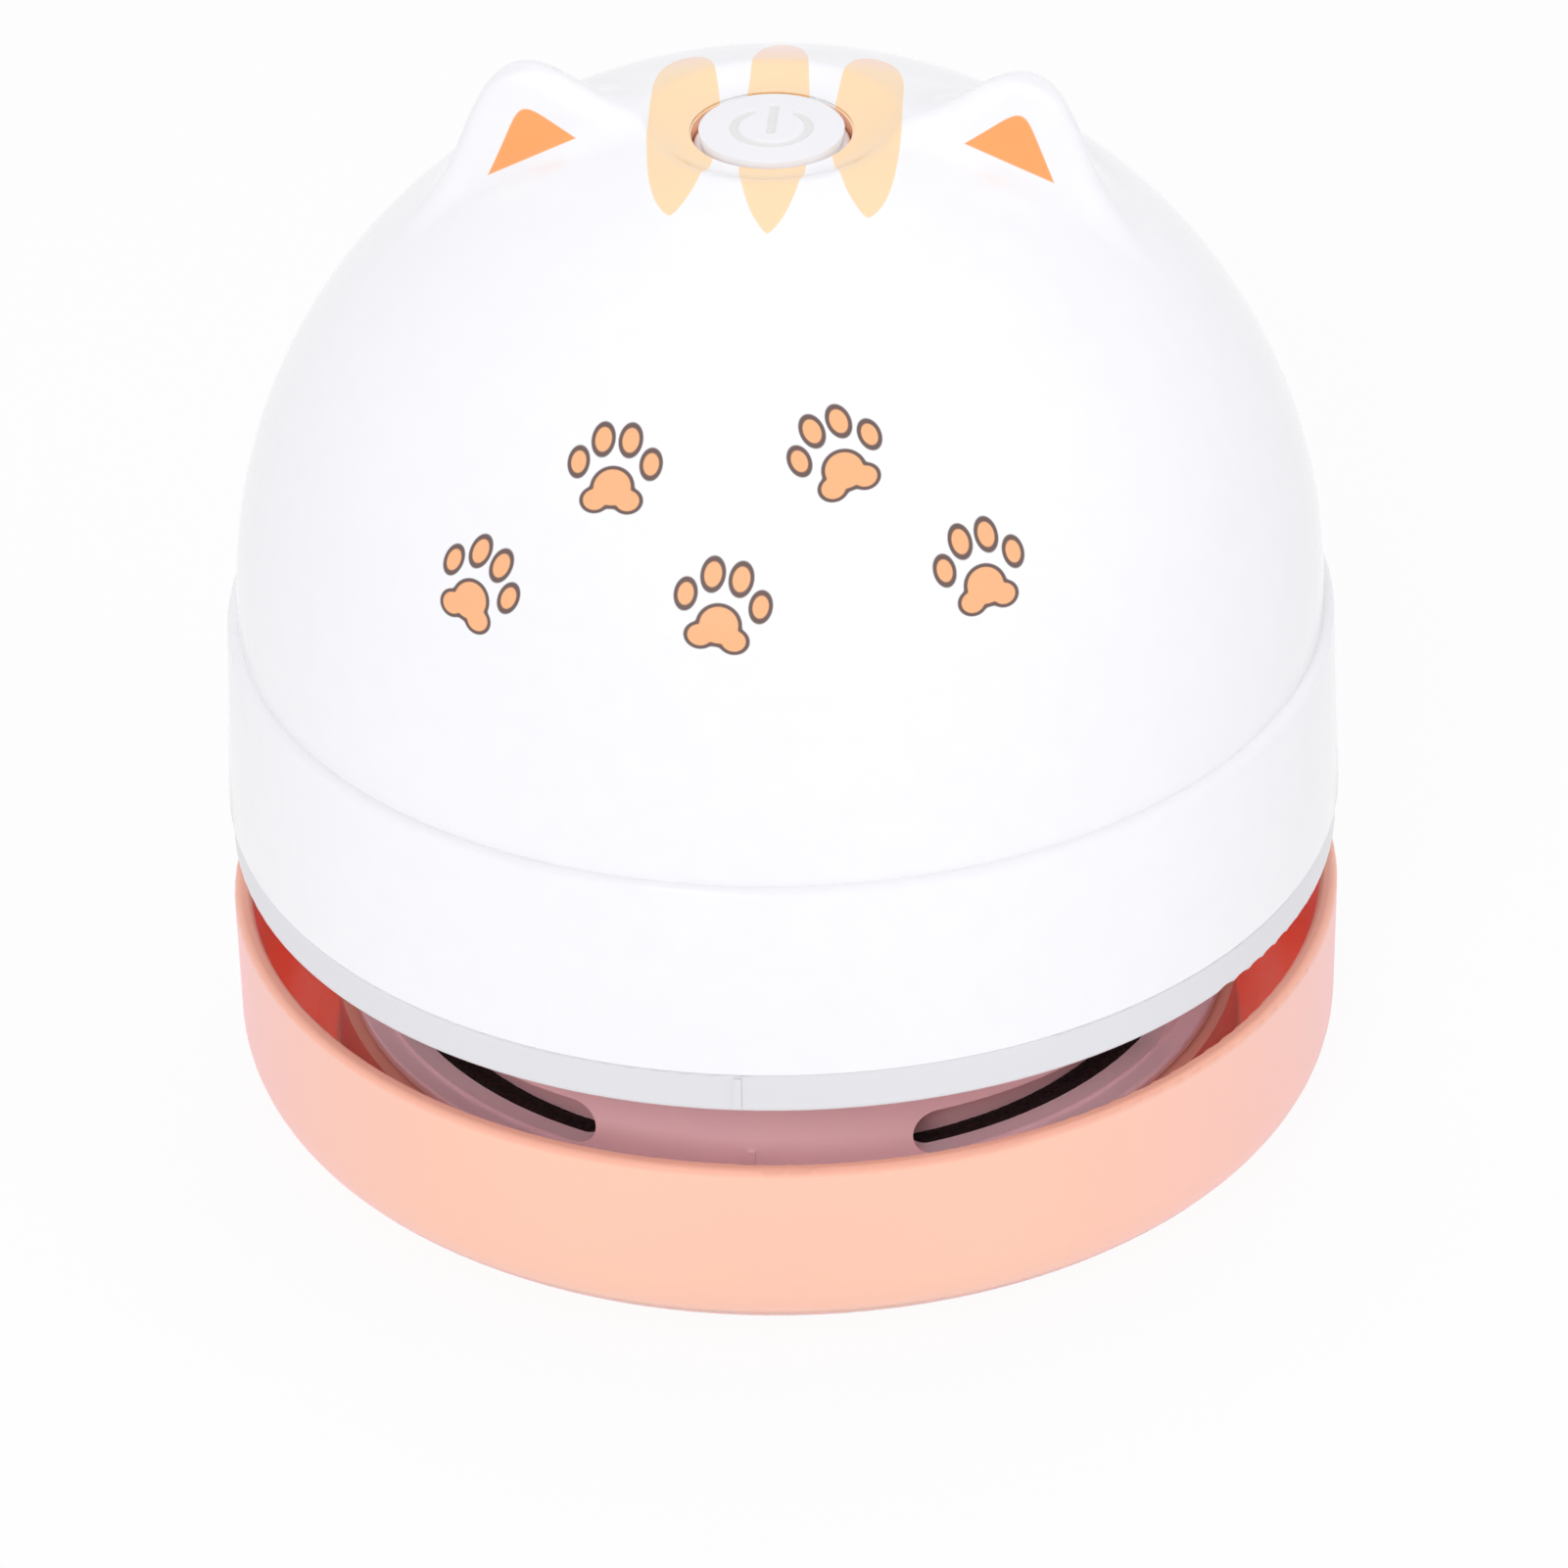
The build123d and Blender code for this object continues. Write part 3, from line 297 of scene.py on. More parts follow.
peach_abs, tree, place = start_material("peach_abs_satin")
axes = axes_of(tree, place)
radius = from_axis(tree, place)
wall_inside = cup_radius - cup_wall
floor_middle = cup_low.z / MM + cup_floor / 2
within = ramp_of(tree, radius, wall_inside + cup_edge, wall_inside)
above = ramp_of(tree, axes["Z"], floor_middle - cup_floor_edge, floor_middle + cup_floor_edge)
within_wall = math_of(tree, "MULTIPLY", within, above)
in_channel = math_of(tree, "GREATER_THAN", radius, channel_inside)
see_through = math_of(tree, "MULTIPLY", within_wall, in_channel)
flow = noise_of(tree, place, cup_flow, 1.0)
from_middle = math_of(tree, "ABSOLUTE", axes["X"])
painted_side_share = ramp_of(tree, from_middle, cup_side_start, cup_radius, shape="SMOOTHSTEP")
painted_rim_share = ramp_of(tree, axes["Z"], *[cup_rim_height - band for band in cup_rim_band])
colour = mix_of(tree, flow, cup_outside, cup_outside_shade)
# painted light: the sides turn pinker towards the left and right
colour = mix_of(tree, painted_side_share, colour, cup_side_painted_light)
# painted glow along the rim
colour = mix_of(tree, painted_rim_share, colour, cup_rim_painted_glow)
# painted glow in the channel inside the outer wall
colour = mix_of(tree, within_wall, colour, cup_channel_painted_glow)
grain = noise_of(tree, place, cup_grain, 2.0)
close_material(tree, Base_Color=colour, Roughness=ramp_of(tree, grain, 0.0, 1.0, *cup_gloss),
               IOR=1.53, Normal=relief_of(tree, grain, 0.25, cup_grain_depth),
               Subsurface_Weight=see_through, Subsurface_Radius=glow_share,
               Subsurface_Scale=glow_reach * MM, Sheen_Weight=0.3, Sheen_Roughness=0.35,
               Sheen_Tint=linear(cup_sheen))
paint(peach_abs, "dust_cup")

# ---- feet --------------------------------------------------------------------------
# Four die-cut pads of black rubber, glued into their recesses. The rubber is matt and
# finely pitted, and a little dust keeps it from being truly black.
rubber = moulded("black_rubber", "#26262A", "#38373A", 3.0, 0.25, 0.03, 0.75)
paint(rubber, "feet")

# ---- bristle strips ----------------------------------------------------------------
# Two curved bars of black polypropylene pressed into grooves beside the inlet. Rows of
# short nylon tufts stand in them and sweep crumbs towards the suction.
bristle_low, bristle_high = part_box("bristles")
bristle_row_radii = (16.2 * MM, 17.0 * MM, 17.8 * MM)
bristle_arc = math.radians(104.0)
bristle_tuft_step = 0.75 * MM
bristles_in_tuft = 7
bristle_thickness = 0.14 * MM
bristle_share = 0.95       # bristle's length as a share of its solid's height
bristle_lean = 0.22
tuft_radius = 0.28 * MM
tuft_sink = 0.02 * MM      # foot of the bristles over the foot of their solid
bristle_shading = 1 / 6.0  # size of the change from bristle to bristle, in mm

polypropylene = moulded("black_polypropylene", "#1D1D20", "#27272B", 5.0, 0.4, 0.02, 0.45)
paint(polypropylene, "bristle_strips")

nylon, tree, place = start_material("black_nylon_bristle")
colour = mix_of(tree, noise_of(tree, place, bristle_shading, 0.0), "#141416", "#3A3A3F")
close_material(tree, Base_Color=colour, Roughness=0.4, IOR=1.53)

tufts, entry = start_group("nylon_tufts", Length="NodeSocketFloat", Thickness="NodeSocketFloat",
                           Lean="NodeSocketFloat")
hair = add_node(tufts, "GeometryNodeMeshCone", {
    "Vertices": 5, "Radius Top": 0.3, "Radius Bottom": 0.5, "Depth": 1.0})
turn = add_node(tufts, "FunctionNodeRandomValue", {
    0: (0, 0, 0), 1: (0, 0, math.tau), "Seed": 7}, data_type="FLOAT_VECTOR").outputs[0]
tilt = add_node(tufts, "FunctionNodeRandomValue", {
    2: math_of(tufts, "MULTIPLY", entry.outputs["Lean"], -1.0), 3: entry.outputs["Lean"],
    "Seed": 11}, data_type="FLOAT").outputs[1]
tipped = add_node(tufts, "ShaderNodeCombineXYZ", {"X": tilt}).outputs["Vector"]
size = add_node(tufts, "ShaderNodeCombineXYZ", {
    "X": entry.outputs["Thickness"], "Y": entry.outputs["Thickness"], "Z": entry.outputs["Length"]})
placed = add_node(tufts, "GeometryNodeInstanceOnPoints", {
    "Points": entry.outputs["Geometry"], "Instance": hair.outputs["Mesh"],
    "Rotation": vector_of(tufts, "ADD", turn, tipped), "Scale": size.outputs["Vector"]})
close_group(tufts, placed.outputs["Instances"], nylon)

tuft_random = np.random.default_rng(5)
bristle_places = []
for side in (0.0, math.pi):
    for row in bristle_row_radii:
        steps = round(row * bristle_arc / bristle_tuft_step)
        for k in range(steps + 1):
            middle = side + bristle_arc * (k / steps - 0.5)
            for _ in range(bristles_in_tuft):
                turn = tuft_random.uniform(0, math.tau)
                out = tuft_random.uniform(0, tuft_radius)
                x = row * math.cos(middle) + out * math.cos(turn)
                y = row * math.sin(middle) + out * math.sin(turn)
                bristle_places.append((x, y, bristle_low.z + tuft_sink))
bristles = evaluated_mesh("nylon_bristles", bristle_places, [], tufts, {
    "Length": (bristle_high.z - bristle_low.z) * bristle_share,
    "Thickness": bristle_thickness, "Lean": bristle_lean}, "cup")
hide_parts("bristles")

# ---- motor deck and ring -----------------------------------------------------------
# The deck, its outer ring and the slotted neck are one moulding in light grey ABS with
# a satin skin. The neck's pink is painted bounce light from the cup, put into its colour.
deck_colour = "#E1E1E4"
neck_painted_bounce = "#FFDCE3"    # painted bounce light from the cup's peach, on the neck's thin wall
least_bounce_share = 0.9           # least share of the neck's painted bounce light
deck_plate_low = 22.9      # mm
deck_plate_edge = 0.1      # softness where the colour changes, in mm
deck_flow = 30.0           # sizes of colour flow and skin, in mm
deck_grain = 0.6
deck_gloss = (0.26, 0.34)

deck_grey, tree, place = start_material("light_grey_abs")
# painted bounce light under the deck plate, its strength drifting with the noise
under_plate = ramp_of(tree, axes_of(tree, place)["Z"],
                      deck_plate_low + deck_plate_edge, deck_plate_low - deck_plate_edge)
bounce_amount = ramp_of(tree, noise_of(tree, place, deck_flow, 1.0), 0.0, 1.0, least_bounce_share, 1.0)
colour = mix_of(tree, math_of(tree, "MULTIPLY", bounce_amount, under_plate), deck_colour, neck_painted_bounce)
skin = noise_of(tree, place, deck_grain, 3.0)
close_material(tree, Base_Color=colour, Roughness=ramp_of(tree, skin, 0.0, 1.0, *deck_gloss),
               IOR=1.53, Normal=relief_of(tree, skin, 0.6, 0.01))
paint(deck_grey, "motor_deck")

# ---- fan housing, gasket and filter ------------------------------------------------
# The housing behind the slots is white polypropylene whose pink is painted bounce light
# from the cup, and black open-cell foam seals it to the neck. Below sit the filter's frame
# in the plain white of the plunger and the cell's tray, nylon gauze and a foam disc.
housing_white = moulded("white_polypropylene", "#E9E4E4", "#E2DCDD", 18.0, 0.7, 0.02, 0.45)
paint(housing_white, "filter_frame", "switch_plunger", "battery_cradle")
# painted bounce light: the housing is painted pink for the cup's light that falls on it
housing_painted_bounce = moulded("white_polypropylene_painted_bounce", "#FAC8CD", "#F5C0C6", 18.0, 0.7, 0.02, 0.45)
paint(housing_painted_bounce, "fan_housing")

foam_cell = 0.5 * MM       # drawn coarser than the real 0.3 mm cells
foam_shading = 0.55        # size of the cells in its colour, in mm
foam, tree, place = start_material("black_open_cell_foam")
cells = add_node(tree, "ShaderNodeTexVoronoi", {"Vector": place, "Scale": 1 / foam_shading})
colour = mix_of(tree, ramp_of(tree, cells.outputs["Distance"], 0.0, 0.7), "#1A0F10", "#2C2021")
close_material(tree, Base_Color=colour, Roughness=0.95, IOR=1.45,
               Normal=relief_of(tree, cells.outputs["Distance"], 1.0, 0.3))


def foam_cut(name, node, step, pit, slope_from=0.0, slope=0.0):
    """Foam cut to a node's solid: edges rounded by the die, open cells as pits in the skin,
    and the upper half pressed down by a slope inside of a radius."""
    solid = bmesh.new()
    solid.from_mesh(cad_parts[node].data)
    bmesh.ops.remove_doubles(solid, verts=solid.verts, dist=0.001 * MM)
    mesh = bpy.data.meshes.new(name)
    solid.to_mesh(mesh)
    solid.free()
    piece = add_object(name, mesh)
    remesh = piece.modifiers.new("even_grid", "REMESH")
    remesh.mode, remesh.voxel_size = "VOXEL", step
    soften = piece.modifiers.new("soft_edges", "SMOOTH")
    soften.factor, soften.iterations = 0.5, 2
    piece.data = evaluated(piece)
    piece.modifiers.clear()
    depths = [0.5 * (1 + noise.noise(spot.co / foam_cell)) for spot in piece.data.vertices]
    moves = [spot.normal * pit * depth for spot, depth in zip(piece.data.vertices, depths)]
    middle = sum(corner[2] for corner in piece.bound_box) / 8
    for spot, move in zip(piece.data.vertices, moves):
        spot.co -= move
        if spot.co.z > middle:
            drop = slope * max(slope_from - spot.co.xy.length, 0.0)
            spot.co.z -= min(drop, spot.co.z - middle)
    finish_mesh(piece.data, foam)
    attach(piece, "upper_unit")
    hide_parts(node)


foam_cut("foam_gasket", "exhaust_gasket", step=0.3 * MM, pit=0.12 * MM,
         slope_from=32.3 * MM, slope=0.9)
foam_cut("foam_filter", "filter_foam", step=0.45 * MM, pit=0.15 * MM)

gauze_low, gauze_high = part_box("filter_mesh")
gauze_radius = gauze_high.x
gauze_pitch = 0.7 * MM     # drawn coarser than the real 0.15 mm weave, so that it shows
gauze_thread = 0.12 * MM
gauze_white = moulded("white_nylon_gauze", "#E6E4DE", "#D9D6CF", 6.0, 0.3, 0.01, 0.5)

weave, entry = start_group("nylon_gauze", Thread="NodeSocketFloat")
run = add_node(weave, "GeometryNodeMeshToCurve", {"Mesh": entry.outputs["Geometry"]})
round_thread = add_node(weave, "GeometryNodeCurvePrimitiveCircle", {
    "Resolution": 4, "Radius": entry.outputs["Thread"]})
thread = add_node(weave, "GeometryNodeCurveToMesh", {
    "Curve": run.outputs["Curve"], "Profile Curve": round_thread.outputs["Curve"],
    "Fill Caps": True})
close_group(weave, thread.outputs["Mesh"], gauze_white)

thread_points, thread_edges = [], []
thread_count = int(gauze_radius / gauze_pitch)
gauze_middle = (gauze_low.z + gauze_high.z) / 2
for k in range(-thread_count, thread_count + 1):
    off = k * gauze_pitch
    half = math.sqrt(gauze_radius**2 - off**2) - gauze_thread
    if half > 0:
        for across, lift in (((1, 0), gauze_thread / 2), ((0, 1), -gauze_thread / 2)):
            along = Vector((across[0], across[1], 0))
            aside = Vector((across[1], across[0], 0))
            start = off * aside - half * along + Vector((0, 0, gauze_middle + lift))
            thread_edges.append((len(thread_points), len(thread_points) + 1))
            thread_points += [start, start + 2 * half * along]
gauze = evaluated_mesh("filter_gauze", thread_points, thread_edges, weave,
                       {"Thread": gauze_thread / 2}, "upper_unit")
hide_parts("filter_mesh")

# ---- impeller ----------------------------------------------------------------------
# Centrifugal fan moulded in grey glass-filled nylon, so its skin is dull and streaked.
impeller_grey = moulded("grey_filled_nylon", "#6C6E74", "#5D5F66", 4.0, 0.3, 0.03, 0.5)
paint(impeller_grey, "impeller")

# ---- motor -------------------------------------------------------------------------
# A small brushed motor: zinc-plated drawn can, black end cap, brass tabs, ferrite
# magnets, and an armature of steel laminations wound with enamelled copper.
along_z = (1.0, 1.0, 0.06)
even = (1.0, 1.0, 1.0)
zinc_can = metal("zinc_plated_can", "#C9CBCC", "#AEB1B4", 0.28, 0.5, along_z)
ground_steel = metal("ground_steel_shaft", "#D9DADB", "#C4C6C8", 0.15, 0.2, even)
laminations = metal("stamped_laminations", "#8B8C8E", "#6E7073", 0.4, 0.35, (0.05, 0.05, 1.0))
copper_wire = metal("enamelled_copper", "#C4763F", "#A4562A", 0.25, 0.3, (0.05, 1.0, 1.0))
brass_tab = metal("stamped_brass", "#D8B25A", "#BE9743", 0.3, 0.4, along_z)
ferrite = moulded("sintered_ferrite", "#3A3B3E", "#2E2F32", 2.0, 0.15, 0.03, 0.6)
cap_black = moulded("black_acetal_cap", "#202124", "#2A2B2F", 5.0, 0.4, 0.01, 0.35)
paint(zinc_can, "motor_can")
paint(ground_steel, "motor_shaft")
paint(laminations, "armature")
paint(copper_wire, "windings", "commutator")
paint(brass_tab, "motor_terminals")
paint(ferrite, "motor_magnets")
paint(cap_black, "motor_cap", "push_switch", "board_parts")

# ---- battery and circuit board -----------------------------------------------------
# A lithium cell in a shrunk blue sleeve lies in its tray. The charging board behind the
# motor is green fibreglass, and its tin-plated socket faces out at the back.
sleeve = moulded("shrunk_pvc_sleeve", "#2E63A8", "#28579A", 12.0, 1.2, 0.02, 0.25, 1.54)
paint(sleeve, "battery_cell")

solder_mask, tree, place = start_material("green_solder_mask")
tracks = add_node(tree, "ShaderNodeTexBrick", {
    "Vector": place, "Color1": linear("#1E6B3E"), "Color2": linear("#237546"),
    "Mortar": linear("#2F8A55"), "Scale": 1.0, "Mortar Size": 0.12, "Brick Width": 3.0,
    "Row Height": 1.2})
close_material(tree, Base_Color=tracks.outputs["Color"], Roughness=0.3, IOR=1.52,
               Normal=relief_of(tree, tracks.outputs["Fac"], 0.5, 0.03))
paint(solder_mask, "main_board", "switch_board")

tin_plate = metal("tin_plated_socket", "#D4D4D2", "#BBBCBB", 0.3, 0.6, (1.0, 0.08, 1.0))
paint(tin_plate, "usb_socket")

# ---- top shell ---------------------------------------------------------------------
# Shell and ears are one high-gloss moulding in white ABS with a trace of orange peel.
# Stripes, ears and a trail of paw marks are pad printed before the clear gloss.
shell_low, shell_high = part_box("top_shell")
skirt_radius = shell_high.x / MM
skirt_foot = shell_low.z / MM
skirt_draft = 0.6          # sizes in mm from here to the mesh
skirt_top = 43.4
skirt_rounds = (0.8, 0.3, 0.2)    # at the ledge, and outside and inside at the foot
shell_wall = 2.0
dome_radius = 44.5
dome_spring = 45.4         # foot of the elliptical dome
dome_rise = 43.3
dish_radius = 10.0
dish_floor = 86.6
dish_sag = 0.35
dish_rim = 0.8             # rounding between dish and dome
bore_radius = 6.42         # hole that the button slides in
bore_round = 0.15          # rounding of its mouth
bore_painted_shade = "#FFB791"       # painted shade of the gap round the button, on the bore's wall
collar_radius = 11.6
collar_low = 82.6
collar_rounds = (0.3, 0.2)
port_margin = 0.5          # round the charging socket
port_round = 0.8
ear_reach = 20.2           # middle plane to the middle of an ear's foot
ear_lean = math.radians(25.9)
ear_taper = 7.1            # height over which the sizes go from the first to the second value
ear_half_widths = (8.3, 1.6)
ear_middles = (-0.87, -2.1)
ear_fronts = (-1.3, 1.0)
ear_backs = (7.4, 3.4)
ear_height = 6.15
ear_crown = 6.5            # radius of the outline round the tip
ear_crown_middle = -1.62
ear_crown_share = 0.75     # share of the height above which the crown's outline holds
ear_crown_release = 1.5    # how fast it gives way below that
ear_edge = 1.8             # rounding between an ear's front and back
ear_rim = 0.8              # rounding of the crown
ear_blend = 2.6            # rounding between ear and dome
ear_ring = 30.0            # radius within which the dome's mesh is fine enough for ears
ear_limit = 9.0            # farther out from the dome than any part of an ear
ear_halvings = 24          # steps to find an ear's surface
sharp_angle = math.radians(50)
# start, end and count of bearings, in degrees: close at the ears and wider between them
bearing_runs = ((-18, 35, 151), (35, 145, 88), (145, 198, 151), (198, 342, 115))


def soft_least(first, second, reach):
    """Smaller of two depths, rounded where they are within a reach of each other."""
    near = np.maximum(reach - np.abs(first - second), 0.0) / reach
    return np.minimum(first, second) - near**2 * reach / 4


def ear_depth(x, y, z):
    """Depth under the surface of the ear on that side."""
    foot_height = dome_spring + dome_rise * math.sqrt(1 - (ear_reach / dome_radius) ** 2)
    out = (np.abs(x) - ear_reach) * math.cos(ear_lean) - (z - foot_height) * math.sin(ear_lean)
    up = (np.abs(x) - ear_reach) * math.sin(ear_lean) + (z - foot_height) * math.cos(ear_lean)
    half, middle, front, back = (foot + (tip - foot) * up / ear_taper for foot, tip in (
        ear_half_widths, ear_middles, ear_fronts, ear_backs))
    front_slope = math.cos(math.atan2(ear_fronts[1] - ear_fronts[0], ear_taper))
    back_slope = math.cos(math.atan2(ear_half_widths[0] - ear_half_widths[1], ear_taper))
    radius = (half**2 + (back - front) ** 2) / (2 * (back - front))
    to_front = (y - front) * front_slope
    to_back = (radius - np.hypot(out - middle, y - back + radius)) * back_slope
    to_crown = ear_crown - np.hypot(out - ear_crown_middle, up - ear_height + ear_crown)
    below_crown = ear_crown_release * np.maximum(ear_crown_share * ear_height - up, 0.0)
    return soft_least(soft_least(to_front, to_back, ear_edge), to_crown + below_crown, ear_rim)


def shell_depth(x, y, z):
    """Depth under the surface of the dome with its ears."""
    dome = dome_radius * (1 - np.hypot(np.hypot(x, y) / dome_radius, (z - dome_spring) / dome_rise))
    return -soft_least(-dome, -ear_depth(x, y, z), ear_blend)


def dome_line(radii, inset=0.0):
    """Outline of the dome, inset by a wall, at radii from the axis."""
    return [Vector((r, dome_spring + (dome_rise - inset) * math.sqrt(
        1 - (r / (dome_radius - inset)) ** 2))) for r in radii]


def dished(radii, heights):
    """Heights of the dome's skin after the dish is sunk into it."""
    rim_height = dome_line([dish_radius])[0].y
    inward = (dish_radius - radii) / (dish_radius - bore_radius - bore_round)
    dish = rim_height + (dish_floor - rim_height) * inward - 4 * dish_sag * inward * (1 - inward)
    return soft_least(heights, dish, dish_rim)


dish_radii = np.linspace(dish_radius, bore_radius + bore_round, 14)[1:]
dish_line = [Vector((spot.x, float(dished(spot.x, spot.y)))) for spot in dome_line(dish_radii)]
inner_radius = dome_radius - shell_wall
skirt_shoulder = skirt_radius - skirt_draft
ledge_round, foot_round, foot_round_inside = skirt_rounds
edge_turns = np.linspace(math.asin(ear_ring / dome_radius), math.pi / 2, 28)[1:]
dome_radii = list(np.linspace(dish_radius, ear_ring, 74))
dome_radii += [dome_radius * math.sin(turn) for turn in edge_turns]
inner_turns = np.linspace(math.pi / 2, math.asin(collar_radius / inner_radius), 20)
inner_radii = [inner_radius * math.sin(turn) for turn in inner_turns]
outside = dome_line(dome_radii)
skirt = rounded([
    (dome_radius, skirt_top, 0), (skirt_shoulder, skirt_top, ledge_round),
    (skirt_radius, skirt_foot, foot_round),
    (skirt_radius - shell_wall, skirt_foot, foot_round_inside),
    (skirt_shoulder - shell_wall, skirt_top - shell_wall, 0)])
collar = rounded([
    (collar_radius, collar_low, collar_rounds[0]), (bore_radius, collar_low, collar_rounds[1]),
    (bore_radius, dish_floor, bore_round)])
outline = outside + skirt + dome_line(inner_radii, shell_wall) + collar + dish_line[::-1]
bearings = np.radians(np.concatenate([
    np.linspace(start, end, steps, endpoint=False) for start, end, steps in bearing_runs]))
radii = np.array([spot.x for spot in outline])[:, None]
x, y = radii * np.cos(bearings), radii * np.sin(bearings)
z = np.array([spot.y for spot in outline])[:, None] + np.zeros_like(x)

on_dome = slice(0, len(outside))
toward_x = np.sign(x[on_dome]) * math.sin(ear_lean)
toward_z = math.cos(ear_lean)
inside, beyond = np.zeros_like(x[on_dome]), np.full_like(x[on_dome], ear_limit)
for _ in range(ear_halvings):
    halfway = (inside + beyond) / 2
    under = shell_depth(x[on_dome] + halfway * toward_x, y[on_dome],
                        z[on_dome] + halfway * toward_z) > 0
    inside = np.where(under, halfway, inside)
    beyond = np.where(under, beyond, halfway)
sunk = dished(radii[on_dome], z[on_dome]) - z[on_dome]
x[on_dome] += inside * toward_x
z[on_dome] += inside * toward_z + sunk

shell = add_object("cat_ear_shell", closed_mesh(
    "cat_ear_shell", zip(x.ravel(), y.ravel(), z.ravel()), ring_faces(*x.shape, closed=True)))

socket_low, socket_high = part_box("usb_socket")
port_half_width = socket_high.x / MM + port_margin
port_half_height = (socket_high.z - socket_low.z) / MM / 2 + port_margin
port_middle = (socket_high.z + socket_low.z) / MM / 2
port_outline = rounded([(side * port_half_width, end * port_half_height, port_round)
                        for side, end in ((-1, -1), (1, -1), (1, 1), (-1, 1))])
port_corners = [Vector((spot.x, y_end, port_middle + spot.y))
                for y_end in (skirt_radius - 2 * shell_wall, skirt_radius + shell_wall)
                for spot in port_outline]
port_steps = len(port_outline)
port_faces = [tuple(range(port_steps)), tuple(range(2 * port_steps - 1, port_steps - 1, -1))]
port_faces += ring_faces(2, port_steps, closed=False)
port_cutter = add_object("port_cutter", closed_mesh("port_cutter", port_corners, port_faces))
cut = shell.modifiers.new("charging_port", "BOOLEAN")
cut.operation, cut.solver, cut.object = "DIFFERENCE", "EXACT", port_cutter
shell.data = evaluated(shell)
shell.modifiers.clear()
bpy.data.objects.remove(port_cutter)
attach(shell, "upper_unit")
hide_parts("top_shell")

shell_white = "#F9F9FA"
shell_cool = "#F6F6F8"
orange_peel = 2.6          # mm
shell_gloss = (0.10, 0.16)
stripe_ink = "#FFDDB0"
stripe_ink_back = "#FFD6C4"
stripe_back = (9.0, 14.0)  # along the shell, where the ink goes over to its back colour
stripe_low = 78.0          # height that the print pad comes down to
stripe_turn = math.radians(2.35)
stripe_shift = 0.3
stripe_reach = 18.0        # the curves below run from -18 to 18 mm, front to back
stripe_outer = ((-13.4, 7.8), (-12.6, 8.5), (-10.6, 9.3), (-6.0, 9.95), (3.0, 10.1),
                (9.0, 9.85), (12.2, 8.95), (13.5, 7.4))
stripe_inner = ((-13.4, 7.8), (-12.6, 7.05), (-9.0, 5.55), (-3.0, 4.6), (4.0, 4.6),
                (9.0, 5.2), (12.3, 6.1), (13.5, 7.4))
stripe_middle = ((-15.9, 0.0), (-15.2, 0.6), (-12.7, 1.7), (-8.5, 2.5), (0.0, 2.65),
                 (8.0, 2.4), (13.0, 1.95), (16.0, 0.95), (16.85, 0.0))
stripe_scale = 12.0        # mm that the curves' full height stands for
ink_edge = 0.05            # softness of a printed edge, mm
bore_edge = (0.03, 0.01)   # beyond the bore's radius, where its painted shade ends
ear_ink = "#FFA862"
ear_print_slope = math.radians(27.8)    # the ears' print pad comes down at this angle
# along X, and across the pad's path
ear_corners = ((15.5, 75.75), (22.65, 72.7), (20.1, 78.6))
ear_ink_round = 2.5
ear_ink_turn = 0.01        # the print stands a little turned on the shell
ear_ink_back = 2.2         # print ends before the back of the ear, along Y
print_line = "#6A5550"
print_fill = "#FFB884"
print_line_width = 0.32
# angle from the front, height, turn and size of each paw mark, in degrees and mm
paw_marks = ((-31.0, 64.0, -14.0, 5.6), (-17.0, 73.5, 8.0, 5.6), (-1.5, 65.5, -8.0, 5.6),
             (13.5, 75.0, 16.0, 5.6), (29.0, 66.5, 2.0, 5.6))
# middle and half sizes of a paw's ovals, which are mirrored, as shares of the paw's size
paw_ovals = ((0.20, 0.46, 0.15, 0.22), (0.53, 0.13, 0.14, 0.20), (0.0, -0.22, 0.30, 0.28),
             (0.24, -0.40, 0.20, 0.17))
paw_reach = 1.2            # half size outwards, so that a mark stays on its side of the dome
paw_blend = 0.06

shell_abs, tree, place = start_material("white_abs_high_gloss")
axes = axes_of(tree, place)
turned = add_node(tree, "ShaderNodeVectorRotate", {"Vector": place, "Angle": -stripe_turn},
                  rotation_type="Z_AXIS")
across = axes_of(tree, turned.outputs["Vector"])
aside = math_of(tree, "ABSOLUTE", math_of(tree, "SUBTRACT", across["X"], stripe_shift))
along = ramp_of(tree, across["Y"], -stripe_reach, stripe_reach)


def edge_curve(points):
    """Edge of a stripe as a curve along the shell, in mm from the stripes' middle line."""
    node = add_node(tree, "ShaderNodeFloatCurve", {"Value": along})
    line = node.mapping.curves[0]
    places = [((y + stripe_reach) / (2 * stripe_reach), x / stripe_scale) for y, x in points]
    for k, spot in enumerate(places):
        if k < 2:
            line.points[k].location = spot
        else:
            line.points.new(*spot)
    node.mapping.update()
    return math_of(tree, "MULTIPLY", node.outputs["Value"], stripe_scale)


side_depth = math_of(
    tree, "MINIMUM", math_of(tree, "SUBTRACT", aside, edge_curve(stripe_inner)),
    math_of(tree, "SUBTRACT", edge_curve(stripe_outer), aside))
middle_depth = math_of(tree, "SUBTRACT", edge_curve(stripe_middle), aside)
stripe_depth = math_of(
    tree, "MINIMUM", math_of(tree, "MAXIMUM", side_depth, middle_depth),
    math_of(tree, "SUBTRACT", axes["Z"], stripe_low))
stripe_mask = ramp_of(tree, stripe_depth, -ink_edge, ink_edge)

